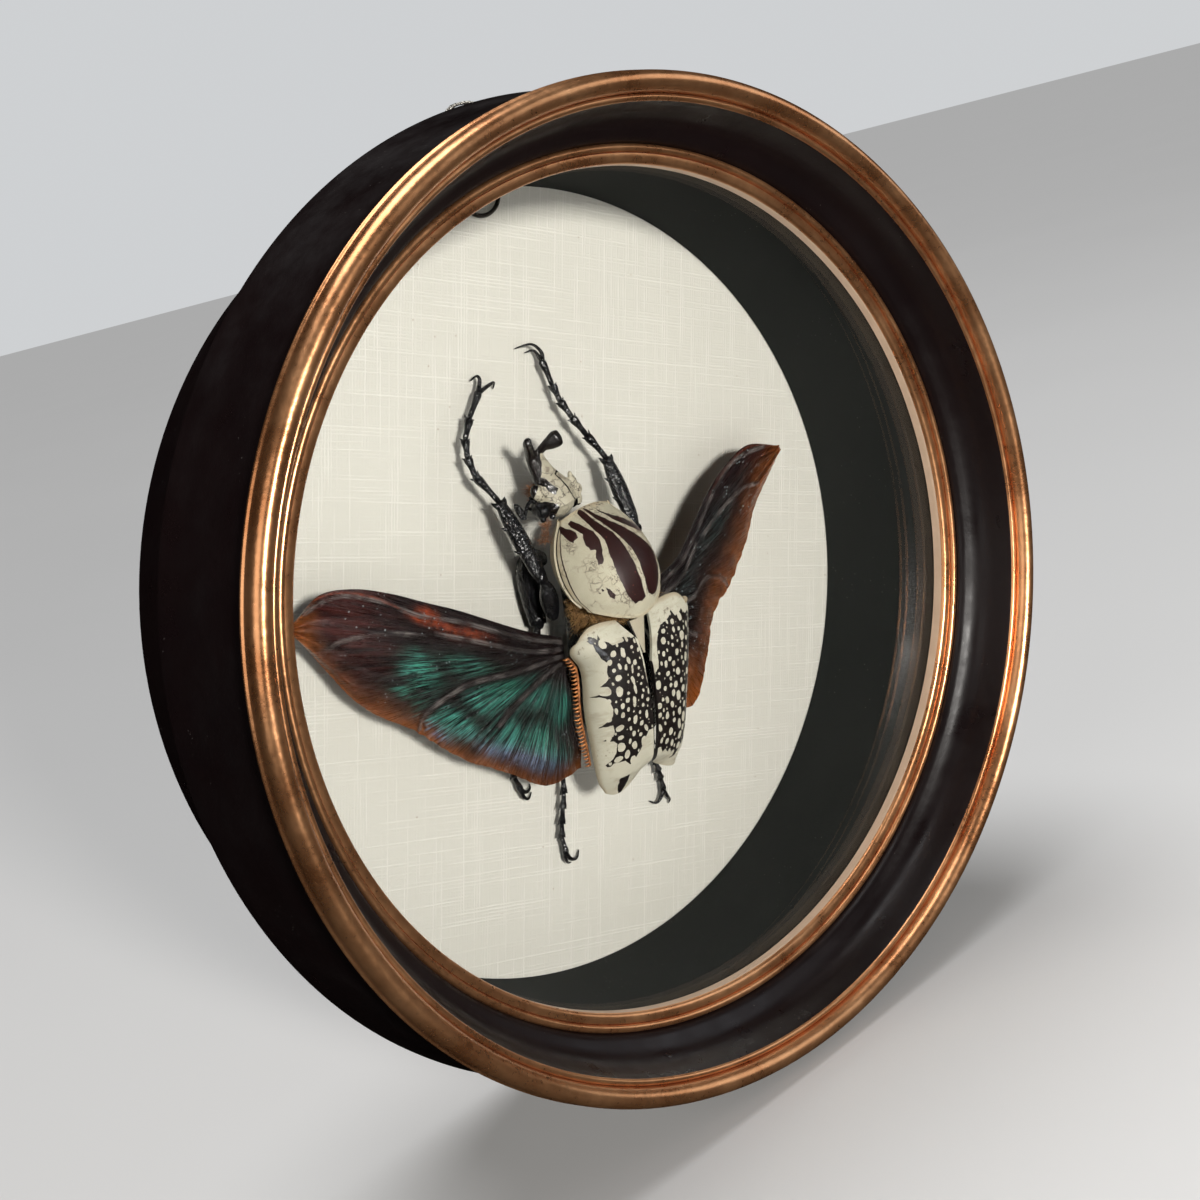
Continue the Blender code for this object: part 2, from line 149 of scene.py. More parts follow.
def plate(name, places, thick, material, nodes=(), attributes=None):
    """A thin closed plate from a grid of places: its front, its back thick mm behind, and the rim."""
    front = world(places)
    n = normals(front)
    if n[..., 1].mean() > 0:
        n = -n
    back = front - n * thick * MM
    rows, columns = front.shape[:2]
    count = rows * columns
    top = quads(rows, columns)
    below = quads(rows, columns, count)
    index = np.arange(count).reshape(rows, columns)
    rim = np.concatenate([index[0, :], index[1:, -1], index[-1, -2::-1], index[-2:0:-1, 0]])
    after = np.roll(rim, -1)
    sides = np.stack([rim, after, after + count, rim + count], -1)
    i, j = rows // 2, columns // 2
    middle, down, beside = front[i, j], front[i + 1, j], front[i, j + 1]
    if np.dot(np.cross(down - middle, beside - middle), n[i, j]) > 0:
        below = below[:, ::-1]
    else:
        top = top[:, ::-1]
        sides = sides[:, ::-1]
    both = {k: np.concatenate([np.ravel(v), np.ravel(v)]) for k, v in (attributes or {}).items()}
    made = mesh_of(name, np.concatenate([front.reshape(-1, 3), back.reshape(-1, 3)]),
                   np.concatenate([top, below, sides]), material, nodes, both)
    made.data.set_sharp_from_angle(angle=radians(50))
    return made


class Build:
    """Points and faces of several closed shapes that make one piece. Places are in mm."""

    def __init__(self):
        self.points, self.faces = [], []

    def tube(self, path, radii, sides=12, flat=1.0):
        """A closed tube along places, with a radius at each; flat squeezes its height."""
        path = np.asarray(path, float)
        radii = np.broadcast_to(np.asarray(radii, float), (len(path),))
        start = len(self.points)
        ahead = np.gradient(path, axis=0)
        ahead /= np.maximum(np.linalg.norm(ahead, axis=1, keepdims=True), 1e-9)
        side = np.cross(ahead, UP)
        short = np.linalg.norm(side, axis=1) < 0.05
        side[short] = np.cross(ahead[short], (1.0, 0, 0.2))
        side /= np.linalg.norm(side, axis=1, keepdims=True)
        over = np.cross(side, ahead)
        angles = np.arange(sides) * 2 * pi / sides
        for p, s, o, r in zip(path, side, over, radii):
            for a in angles:
                self.points.append(p + r * (s * cos(a) + o * sin(a) * flat))
        for i in range(len(path) - 1):
            for j in range(sides):
                k = (j + 1) % sides
                a, b = start + i * sides, start + (i + 1) * sides
                self.faces.append((a + j, b + j, b + k, a + k))
        self.points += [path[0] - ahead[0] * radii[0] * 0.25, path[-1] + ahead[-1] * radii[-1] * 0.25]
        first, last = len(self.points) - 2, len(self.points) - 1
        end = start + (len(path) - 1) * sides
        for j in range(sides):
            k = (j + 1) % sides
            self.faces.append((first, start + j, start + k))
            self.faces.append((last, end + k, end + j))
        return self

    def ball(self, centre, radii, sides=16, rings=10, turn=0.0):
        """An ellipsoid, turned about the line of sight by turn degrees."""
        start = len(self.points)
        c, (rx, rh, rz) = np.asarray(centre, float), np.broadcast_to(np.asarray(radii, float), (3,))
        ca, sa = cos(radians(turn)), sin(radians(turn))
        for i in range(1, rings):
            a = pi * i / rings
            for j in range(sides):
                b = 2 * pi * j / sides
                x, h, z = rx * sin(a) * cos(b), rh * cos(a), rz * sin(a) * sin(b)
                self.points.append(c + (x * ca - z * sa, h, x * sa + z * ca))
        self.points += [c + (0, rh, 0), c - (0, rh, 0)]
        top, low = len(self.points) - 2, len(self.points) - 1
        for i in range(rings - 2):
            for j in range(sides):
                k = (j + 1) % sides
                a, b = start + i * sides, start + (i + 1) * sides
                self.faces.append((a + j, a + k, b + k, b + j))
        for j in range(sides):
            k = (j + 1) % sides
            end = start + (rings - 2) * sides
            self.faces.append((top, start + k, start + j))
            self.faces.append((low, end + j, end + k))
        return self

    def piece(self, name, material, slot, *nodes):
        return mesh_of(name, world(np.array(self.points)), self.faces, material, nodes)


# Materials

class Looks:
    """A material and short ways to wire it."""

    def __init__(self, name, **values):
        self.material = bpy.data.materials.new(name)
        self.material.use_nodes = True
        self.tree = self.material.node_tree
        self.shader = self.tree.nodes["Principled BSDF"]
        self.shape = self.node("ShaderNodeTexCoord").outputs["Object"]
        for key, value in values.items():
            self.set(key.replace("_", " "), value)

    def feed(self, spot, value):
        """Links a socket to an input, or sets the input to a number, a place or a colour."""
        if isinstance(value, bpy.types.NodeSocket):
            self.tree.links.new(value, spot)
        else:
            spot.default_value = (*value, 1.0) if spot.type == "RGBA" else value

    def set(self, key, value):
        self.feed(self.shader.inputs[key], value)

    def node(self, kind, settings=None, **inputs):
        """A node with its settings; an input is given by its name, or as i and its number."""
        made = self.tree.nodes.new(kind)
        for key, value in (settings or {}).items():
            setattr(made, key, value)
        for key, value in inputs.items():
            numbered = key[0] == "i" and key[1:].isdigit()
            self.feed(made.inputs[int(key[1:]) if numbered else key.replace("_", " ")], value)
        return made

    def attribute(self, name):
        return self.node("ShaderNodeAttribute", {"attribute_name": name}).outputs["Fac"]

    def noise(self, scale, detail=4.0, roughness=0.5, vector=None):
        return self.node("ShaderNodeTexNoise", Vector=vector or self.shape, Scale=scale, Detail=detail,
                         Roughness=roughness).outputs["Fac"]

    def cells(self, scale, feature="F1", vector=None):
        return self.node("ShaderNodeTexVoronoi", {"feature": feature}, Vector=vector or self.shape,
                         Scale=scale).outputs["Distance"]

    def ramp(self, value, *stops):
        """Stops are (place, value), where a value is a number or a colour."""
        made = self.node("ShaderNodeValToRGB", Fac=value)
        spots = made.color_ramp.elements
        while len(spots) < len(stops):
            spots.new(0.5)
        for spot, (place, shade) in zip(spots, stops):
            spot.position = place
            spot.color = (*shade, 1.0) if isinstance(shade, tuple) else (shade, shade, shade, 1.0)
        return made.outputs["Color"]

    def mix(self, share, a, b, how="MIX"):
        made = self.node("ShaderNodeMix", {"data_type": "RGBA", "blend_type": how}, i0=share, i6=a, i7=b)
        return made.outputs[2]

    def math(self, how, a, b=0.0, clamp=False):
        return self.node("ShaderNodeMath", {"operation": how, "use_clamp": clamp}, i0=a, i1=b).outputs[0]

    def times(self, a, b, clamp=False):
        return self.math("MULTIPLY", a, b, clamp)

    def below(self, value, limit):
        """1 where the value is less than the limit, else 0."""
        return self.math("LESS_THAN", value, limit)

    def above(self, value, limit):
        return self.math("GREATER_THAN", value, limit)

    def place(self, x, y):
        return self.node("ShaderNodeCombineXYZ", X=x, Y=y).outputs[0]

    def stretch(self, scale, vector=None):
        return self.node("ShaderNodeMapping", Vector=vector or self.shape, Scale=scale).outputs[0]

    def bump(self, height, strength, distance, under=None):
        made = self.node("ShaderNodeBump", Height=height, Strength=strength, Distance=distance)
        if under is not None:
            self.feed(made.inputs["Normal"], under)
        self.set("Normal", made.outputs[0])
        return made.outputs[0]


def gilt():
    """Bronze-coloured gilding, thin and rubbed in places."""
    m = Looks("gilt", Metallic=0.92)
    wear = m.noise(60, 6, 0.65)
    fine = m.noise(900, 4, 0.6)
    streak = m.noise(240, 3, 0.6)
    base = m.mix(m.ramp(wear, (0.35, 0.0), (0.7, 1.0)), (0.45, 0.185, 0.075), (0.80, 0.42, 0.205))
    base = m.mix(m.ramp(streak, (0.62, 0.0), (0.78, 0.5)), base, (0.16, 0.055, 0.02))
    worn = m.ramp(m.noise(150, 8, 0.7), (0.72, 0.0), (0.78, 0.85))
    m.set("Base Color", m.mix(worn, base, (0.035, 0.018, 0.012)))
    both = m.math("ADD", m.times(wear, 0.6), m.times(fine, 0.4))
    m.set("Roughness", m.ramp(both, (0.3, 0.20), (0.7, 0.42)))
    m.bump(fine, 0.12, 0.0002, m.bump(m.noise(220, 3, 0.5), 0.2, 0.0006))
    return m.material


def lacquer():
    """Black-brown lacquer, half glossy, with dust in it."""
    m = Looks("black_lacquer", Specular_IOR_Level=0.22)
    speck = m.cells(640)
    dust = m.times(m.below(speck, 0.075), m.above(m.noise(38, 4, 0.7), 0.56))
    base = m.mix(m.noise(26, 5, 0.6), (0.0025, 0.0016, 0.0020), (0.009, 0.0045, 0.0045))
    m.set("Base Color", m.mix(m.times(dust, 0.35), base, (0.20, 0.18, 0.17)))
    m.set("Roughness", m.ramp(m.noise(70, 6, 0.65), (0.35, 0.26), (0.7, 0.50)))
    m.bump(m.noise(420, 4, 0.55), 0.12, 0.0004, m.bump(m.noise(40, 2), 0.15, 0.002))
    return m.material


def lining():
    """Matte black paper with a little lint."""
    m = Looks("black_lining", Roughness=0.88, Specular_IOR_Level=0.12)
    lint = m.times(m.below(m.cells(620), 0.09), m.above(m.noise(60, 5, 0.7), 0.54))
    base = m.mix(m.noise(18, 5), (0.008, 0.0095, 0.009), (0.018, 0.0195, 0.018))
    m.set("Base Color", m.mix(m.times(lint, 0.3), base, (0.24, 0.24, 0.22)))
    m.bump(m.noise(1500, 3, 0.6), 0.25, 0.0002)
    return m.material


def linen_card():
    """Cream card embossed with a loose linen weave."""
    m = Looks("linen_card", Roughness=0.82, Specular_IOR_Level=0.25)
    wander = m.noise(14, 2, 0.5)
    turned = m.node("ShaderNodeMapping", Vector=m.shape, Rotation=(0, radians(-19), 0)).outputs[0]

    def threads(axis, count, fine):
        lines = m.node("ShaderNodeTexWave", {"bands_direction": axis}, Vector=turned, Scale=count,
                       Distortion=1.2, Detail=2.0, Detail_Scale=0.3).outputs["Fac"]
        size = (fine, 1, 26) if axis == "X" else (26, 1, fine)
        patch = m.noise(1, 3, 0.6, m.stretch(size, turned))
        return m.times(lines, m.ramp(patch, (0.44, 0.0), (0.62, 1.0)))

    weave = m.math("MAXIMUM", threads("X", 430, 620), threads("Z", 400, 620))
    base = m.mix(wander, (0.565, 0.55, 0.485), (0.60, 0.585, 0.53))
    base = m.mix(m.ramp(weave, (0.3, 0.0), (1.0, 0.40)), base, (0.80, 0.785, 0.73))
    speck = m.below(m.cells(150), 0.035)
    m.set("Base Color", m.mix(m.times(speck, 0.5), base, (0.30, 0.22, 0.15)))
    m.bump(weave, 0.45, 0.0002, m.bump(m.noise(1400, 3), 0.15, 0.0001))
    return m.material


def chalk_and_ink(m, white, dark, white_rough, dark_rough, soft=0.08):
    """White chalk, and dark ink where the mesh's ink attribute is past a half."""
    ink = m.ramp(m.attribute("ink"), (0.5 - soft, 0.0), (0.5 + soft, 1.0))
    m.set("Base Color", m.mix(ink, white, dark))
    m.set("Roughness", m.mix(ink, (white_rough,) * 3, (dark_rough,) * 3))


def painted_shield():
    """Chalky cream plate with dark red-brown stripes."""
    m = Looks("chalky_shield", Specular_IOR_Level=0.3)
    swirl = m.node("ShaderNodeTexNoise", Vector=m.shape, Scale=420.0).outputs["Color"]
    bent = m.mix(0.0012, m.shape, swirl, "LINEAR_LIGHT")
    crack = m.ramp(m.cells(620, "DISTANCE_TO_EDGE", bent), (0.0, 1.0), (0.13, 0.0))
    hairs = m.times(crack, m.ramp(m.noise(170, 4, 0.6), (0.52, 0.0), (0.62, 1.0)))
    white = m.mix(m.noise(300, 6, 0.65), (0.35, 0.32, 0.225), (0.52, 0.49, 0.38))
    white = m.mix(m.ramp(m.noise(75, 6, 0.7), (0.50, 0.0), (0.64, 0.6)), white, (0.27, 0.23, 0.155))
    white = m.mix(m.times(m.attribute("stain_and_shade"), 0.75), white, (0.30, 0.22, 0.12))
    lines = m.ramp(m.noise(340, 5, 0.6), (0.480, 0.0), (0.494, 1.0), (0.506, 1.0), (0.520, 0.0))
    lines = m.times(lines, m.ramp(m.noise(95, 3), (0.47, 0.0), (0.57, 0.9)))
    white = m.mix(m.math("MAXIMUM", lines, m.times(hairs, 0.75)), white, (0.06, 0.04, 0.03))
    dark = m.mix(m.noise(240, 6, 0.7), (0.006, 0.0014, 0.0013), (0.021, 0.0042, 0.0036))
    dark = m.mix(m.below(m.cells(420), 0.08), dark, (0.12, 0.03, 0.022))
    chalk_and_ink(m, white, dark, 0.62, 0.42)
    m.bump(m.noise(900, 4, 0.6), 0.15, 0.0002, m.bump(m.attribute("ink"), 0.25, 0.00025))
    return m.material


def painted_case():
    """Chalky white wing case under a black network."""
    m = Looks("chalky_case", Specular_IOR_Level=0.3)
    wrinkle = m.noise(1, 4, 0.6, m.stretch((160, 160, 520)))
    white = m.mix(m.noise(260, 6, 0.65), (0.38, 0.36, 0.275), (0.54, 0.52, 0.425))
    white = m.mix(m.ramp(wrinkle, (0.52, 0.0), (0.66, 0.6)), white, (0.30, 0.27, 0.20))
    grime = m.ramp(m.noise(900, 5, 0.7), (0.58, 0.0), (0.64, 1.0))
    dirt = m.times(grime, m.ramp(m.noise(110, 3), (0.5, 0.0), (0.62, 0.8)))
    white = m.mix(dirt, white, (0.13, 0.10, 0.07))
    white = m.mix(m.times(m.attribute("stain_and_shade"), 0.8), white, (0.26, 0.20, 0.12))
    dark = m.mix(m.noise(300, 5), (0.004, 0.003, 0.003), (0.013, 0.009, 0.008))
    rubbed = m.times(m.attribute("worn"), m.ramp(m.noise(700, 5, 0.7), (0.40, 0.0), (0.62, 0.8)))
    dark = m.mix(rubbed, dark, (0.17, 0.18, 0.20))
    chalk_and_ink(m, white, dark, 0.6, 0.36)
    m.bump(wrinkle, 0.35, 0.0003, m.bump(m.attribute("ink"), 0.3, 0.0002))
    return m.material


def wing_film():
    """Dark brown membrane: amber where it is thin at the edges, a painted green-to-lilac sheen where it
    catches the light, painted glints, and a painted highlight along the veins.
    """
    m = Looks("wing_film", Specular_IOR_Level=0.35)
    fan, reach, rim, red, green_sheen, lilac_sheen, painted_glint = (
        m.attribute(name) for name in ("fan", "reach", "rim", "red", "green_sheen", "lilac_sheen", "painted_glint"))
    hair = m.noise(1, 5, 0.72, m.place(m.times(fan, 190.0), m.times(reach, 9.0)))
    streak = m.noise(1, 5, 0.65, m.place(m.times(fan, 46.0), m.times(reach, 3.6)))
    base = m.mix(m.ramp(streak, (0.35, 0.0), (0.65, 1.0)), (0.0015, 0.0010, 0.0013), (0.012, 0.0045, 0.0045))
    maroon = m.mix(m.ramp(streak, (0.38, 0.0), (0.62, 1.0)), (0.010, 0.0025, 0.0030), (0.095, 0.015, 0.011))
    base = m.mix(m.times(red, 0.85, True), base, maroon)
    amber = m.mix(m.noise(90, 4), (0.24, 0.055, 0.010), (0.58, 0.19, 0.038))
    base = m.mix(rim, base, amber)
    flame = m.mix(m.noise(500, 4), (0.15, 0.010, 0.008), (0.44, 0.09, 0.022))
    base = m.mix(m.attribute("fire"), base, flame)
    # Painted sheen: green to lilac as base colour in patches, with some metallic gloss
    hue = m.mix(lilac_sheen, m.mix(m.noise(120, 4), (0.05, 0.40, 0.24), (0.16, 0.60, 0.52)),
                m.mix(m.noise(160, 3), (0.16, 0.42, 0.56), (0.42, 0.40, 0.62)))
    share = m.times(m.times(green_sheen, m.ramp(hair, (0.45, 0.03), (0.55, 1.0))),
                   m.ramp(streak, (0.43, 0.05), (0.54, 1.0)), True)
    base = m.mix(share, base, hue)
    # Painted glints: pale specks where the membrane caught the light
    glint_bits = m.times(m.below(m.cells(900), 0.2), m.ramp(m.noise(170, 3), (0.54, 0.0), (0.60, 1.0)))
    base = m.mix(m.times(glint_bits, painted_glint, True), base, (0.40, 0.48, 0.50))
    # Painted highlight: pale colour along the vein crests, where the roughness is also lower
    vein = m.times(m.attribute("vein"), m.ramp(m.noise(260, 4), (0.42, 0.15), (0.60, 0.9)), True)
    base = m.mix(vein, base, (0.20, 0.175, 0.165))
    m.set("Base Color", base)
    m.set("Metallic", m.times(share, 0.7))
    m.set("Roughness", m.mix(vein, m.ramp(hair, (0.3, 0.18), (0.7, 0.42)), (0.16, 0.16, 0.16)))
    m.set("Transmission Weight", m.times(rim, 0.6))
    m.bump(hair, 0.8, 0.0005, m.bump(streak, 0.9, 0.0012))
    return m.material


def chitin(name, base=(0.010, 0.009, 0.009), grain=1700.0, depth=0.8):
    """Glossy black shell with fine pits."""
    m = Looks(name, Specular_IOR_Level=0.45)
    pit = m.cells(grain)
    m.set("Base Color", m.mix(m.noise(120, 5), base, tuple(3.0 * c for c in base)))
    m.set("Roughness", m.ramp(m.noise(200, 5, 0.7), (0.3, 0.14), (0.7, 0.34)))
    m.bump(pit, depth, 0.00025, m.bump(m.noise(700, 3), 0.4, 0.0004))
    return m.material


def fur(name, dark, light):
    m = Looks(name, Roughness=0.55)
    m.set("Base Color", m.mix(m.ramp(m.noise(700, 3), (0.35, 0.0), (0.65, 1.0)), dark, light))
    return m.material


def plain(name, a, b, scale, rough=(0.4, 0.6), **values):
    """A base of two mixed tones with a fine bump."""
    m = Looks(name, **values)
    m.set("Base Color", m.mix(m.noise(scale, 5, 0.6), a, b))
    m.set("Roughness", m.ramp(m.noise(scale * 2, 4), (0.3, rough[0]), (0.7, rough[1])))
    m.bump(m.noise(scale * 4, 4), 0.2, 0.0003)
    return m.material


def head_shell():
    """Chalky head with a black, pitted face and horn."""
    m = Looks("head_shell")
    white = m.mix(m.noise(420, 6, 0.65), (0.27, 0.24, 0.17), (0.46, 0.43, 0.33))
    white = m.mix(m.ramp(m.noise(330, 6, 0.75), (0.53, 0.0), (0.64, 0.75)), white, (0.11, 0.075, 0.05))
    lines = m.ramp(m.noise(420, 3), (0.478, 0.0), (0.495, 0.9), (0.505, 0.9), (0.522, 0.0))
    white = m.mix(lines, white, (0.05, 0.035, 0.025))
    dark = m.mix(m.noise(500, 5), (0.002, 0.0018, 0.0018), (0.011, 0.008, 0.007))
    chalk_and_ink(m, white, dark, 0.6, 0.27, 0.1)
    m.bump(m.cells(900), 0.4, 0.0002, m.bump(m.noise(500, 4), 0.3, 0.0003))
    return m.material


def glass():
    """Clear picture glass that mirrors little."""
    m = Looks("clear_glass", Transmission_Weight=1.0, IOR=1.45, Roughness=0.0)
    m.set("Base Color", (0.985, 0.995, 0.99))
    return m.material


GILT, LACQUER, LINING, CARD = gilt(), lacquer(), lining(), linen_card()
SHIELD, CASE, FILM, HEAD = painted_shield(), painted_case(), wing_film(), head_shell()
BLACK = chitin("black_shell", (0.0022, 0.0021, 0.0024))
JET = chitin("smooth_black", (0.0016, 0.0016, 0.0019), 1500.0, 0.15)
WIRE = plain("dull_wire", (0.20, 0.19, 0.17), (0.50, 0.48, 0.44), 900, (0.3, 0.5), Metallic=0.9)
DARK_WIRE = plain("dark_wire", (0.02, 0.018, 0.016), (0.07, 0.06, 0.05), 900, (0.3, 0.5), Metallic=0.8)
BOARD = plain("fibreboard", (0.17, 0.115, 0.065), (0.28, 0.20, 0.125), 500, (0.75, 0.9))
BARE = plain("bare_lip", (0.50, 0.34, 0.23), (0.70, 0.52, 0.38), 220, (0.4, 0.6))
FUR = fur("golden_fur", (0.14, 0.065, 0.020), (0.62, 0.36, 0.13))
COMB = fur("orange_fringe", (0.16, 0.05, 0.012), (0.50, 0.19, 0.05))


# Frame

def marked(mark, *spots):
    """Profile spots of (radius, distance from the wall) that share a material number."""
    return [(r, d, mark) for r, d in spots]


def ring(name, profile, materials, slot, *nodes, steps=288, wobble=0.0):
    """A closed profile of (radius, distance from the wall, material number), turned about the middle."""
    rows = np.array([(r, d) for r, d, _ in profile], float)
    marks = [m for _, _, m in profile]
    a = np.arange(steps) * 2 * pi / steps
    swell = wobble * (np.sin(3 * a + 1) + 0.6 * np.sin(7 * a) + 0.4 * np.sin(12 * a + 2))
    r = rows[None, :, 0] + swell[:, None] * 0.6
    x, z = r * np.cos(a)[:, None], r * np.sin(a)[:, None]
    y = -(rows[None, :, 1] + 0.5 * swell[:, None])
    points = np.stack([x, y + 0 * x, z], -1).reshape(-1, 3) * MM
    count = len(profile)
    i, j = np.meshgrid(np.arange(steps), np.arange(count), indexing="ij")
    k, l = (i + 1) % steps, (j + 1) % count
    faces = np.stack([i * count + j, i * count + l, k * count + l, k * count + j], -1).reshape(-1, 4)
    made = mesh_of(name, points, faces, materials, nodes, None, np.tile(marks, steps))
    made.data.set_sharp_from_angle(angle=radians(38))
    return made


def arc(r, d, radius, start, end, count, mark, squeeze=1.0):
    """Points of a round bead, from start to end in degrees, where 0 is outwards and 90 to the front."""
    return [(r + radius * cos(radians(q)), d + radius * squeeze * sin(radians(q)), mark)
            for q in np.linspace(start, end, count)]


def moulding():
    """From the bead's inner edge over the bead, down the side, round the rebate, the lip and the ogee."""
    black, gold, bare = 0, 1, 2
    profile = arc(99.5, 61.9, 0.75, 175, 20, 7, gold)
    profile += marked(gold, (100.25, 61.75))
    profile += arc(102.35, 62.55, 2.15, 172, 0, 15, gold, 1.3)
    profile += marked(gold, (104.45, 61.5))
    profile += arc(104.4, 60.6, 0.55, 70, -60, 6, gold)
    profile += marked(black, (104.3, 59.5), (104.0, 58.0), (104.05, 55.0), (104.6, 50.0), (105.4, 43.0),
                      (106.3, 36.5), (106.85, 33.0), (106.9, 31.9), (106.4, MOULD_BACK), (97.8, MOULD_BACK))
    profile += marked(bare, (97.8, 46.0), (89.0, 46.0), (88.95, 47.6))
    profile += marked(gold, (88.9, 48.4), (89.1, 49.0), (89.6, 49.35), (90.5, 49.5), (91.0, 49.45),
                      (91.15, 49.1))
    profile += arc(92.0, 49.6, 0.8, 185, 10, 9, gold)
    profile += marked(black, (92.85, 49.5), (92.95, 50.2), (93.25, 51.2), (94.0, 52.0), (95.0, 52.7),
                      (96.0, 53.6), (96.8, 54.8), (97.4, 56.2), (97.85, 57.8), (98.15, 59.4), (98.45, 60.8))
    return ring("moulding", profile, [LACQUER, GILT, BARE], "black", "frame_moulding", wobble=0.05)


def case_box():
    """The box wall, its lining, the card, the backing board and the glass."""
    wall = marked(0, (BOX_R, BOX_FRONT), (BOX_R, 0.5), (BOX_R - 0.5, 0.0), (BOX_IN_R, 0.0),
                  (BOX_IN_R, BOX_FRONT))
    ring("case_wall", wall, [LACQUER], "black", "box_ring", steps=192)
    foot = CARD_D + 0.3
    strip = marked(0, (LINING_R, BOX_FRONT), (LINING_R, foot), (LINING_IN_R, foot), (LINING_IN_R, BOX_FRONT))
    ring("lining_strip", strip, [LINING], "lining", "wall_lining")
    disc = marked(0, (HUB_R, CARD_D), (30.0, CARD_D), (60.0, CARD_D), (CARD_R - 0.3, CARD_D),
                  (CARD_R, CARD_D - 0.3), (CARD_R, CARD_D - 1.5), (HUB_R, CARD_D - 1.5))
    ring("linen_mount", disc, [CARD], "card", "mount_card", steps=256)
    board = frame["nodes"]["backing_board"]
    board.data.materials.clear()
    board.data.materials.append(BOARD)
    sheet = marked(0, (HUB_R, GLASS_FRONT), (GLASS_R - 0.3, GLASS_FRONT), (GLASS_R, GLASS_FRONT - 0.3),
                   (GLASS_R, GLASS_BACK + 0.3), (GLASS_R - 0.3, GLASS_BACK), (HUB_R, GLASS_BACK))
    pane = ring("glass_sheet", sheet, [glass()], "glass", "glass_pane", steps=192)
    pane.data.shade_flat()
    pane.visible_shadow = pane.visible_diffuse = False


def wires():
    """The twisted wire of the hanger and the dark loop against the card."""
    count, turns, strand = 90, 9, 0.36
    t = np.linspace(0, 1, count)
    middle, half, top, back = 5.0, 6.3, 108.6, 13.0
    arch = along([(-half, 98.6), (-half - 0.6, 103.0), (-half * 0.6, top - 1.0), (0, top),
                  (half * 0.6, top - 1.0), (half + 0.6, 103.0), (half, 98.6)], t)
    core = np.stack([middle + arch[:, 0], np.full(count, back - CARD_D), arch[:, 1]], -1)
    both = Build()
    for phase in (0, pi):
        turn = t * 2 * pi * turns + phase
        both.tube(core + strand * np.stack([np.cos(turn), np.sin(turn), 0 * turn], -1), 0.34, 8)
    both.piece("hanger_wire", WIRE, "wire", "hanger_loop")
    a = np.linspace(0, pi, 26)
    loop = np.stack([6.6 - 5.2 * np.cos(a), 1.1 + 0 * a, 89.8 - 5.0 * np.sin(a)], -1)
    inner = Build().tube(loop, 0.5, 10).ball((1.4, 1.1, 89.6), 0.9).ball((11.8, 1.1, 89.6), 0.9)
    inner.piece("inner_loop", DARK_WIRE, "wire", "wire_loop")


# Beetle: plates

def shield_place(u, t):
    """A place on the pronotum, with u from -1 at its left edge to 1 and t from 0 in front to 1."""
    half = along([7.0, 9.6, 11.4, 12.3, 12.6, 12.2, 10.7], t)
    rear = -2.2 - 4.6 * (1 - np.abs(u) ** 1.6)
    front = 17.6 + 1.5 * (1 - u * u)
    crest = along([17.0, 21.6, 25.2, 27.8, 28.8, 28.4, 26.6], t)
    margin = along([15.4, 16.2, 17.0, 17.8, 18.8, 20.2, 21.8], t)
    arch = np.clip(1 - np.abs(u) ** 2.3, 0, 1) ** 0.75
    return np.stack([1.8 + u * half, lerp(margin, crest, arch), lerp(front, rear, t)], -1)


def inside(polygon, x, y):
    """Whether points lie in a polygon, as signed distances: below 0 inside."""
    p = np.asarray(polygon, float)
    q = np.roll(p, -1, axis=0)
    odd = np.zeros(x.shape, bool)
    near = np.full(x.shape, FAR)
    for (ax, ay), (bx, by) in zip(p, q):
        crosses = ((ay > y) != (by > y)) & (x < (bx - ax) * (y - ay) / ((by - ay) or 1e-9) + ax)
        odd ^= crosses
        ex, ey = bx - ax, by - ay
        share = np.clip(((x - ax) * ex + (y - ay) * ey) / (ex * ex + ey * ey + 1e-12), 0, 1)
        near = np.minimum(near, np.hypot(x - ax - share * ex, y - ay - share * ey))
    return np.where(odd, -near, near)


def ripple(x, y, scale, seed):
    """Smooth noise about 0, for ragged edges."""
    r = np.random.default_rng(seed)
    out = np.zeros(x.shape)
    for octave in range(4):
        for _ in range(5):
            a, phase = r.uniform(0, 2 * pi), r.uniform(0, 2 * pi)
            f = scale * 2**octave * r.uniform(0.7, 1.3)
            out += np.sin(f * (x * cos(a) + y * sin(a)) + phase) / 1.8**octave
    return out / 6
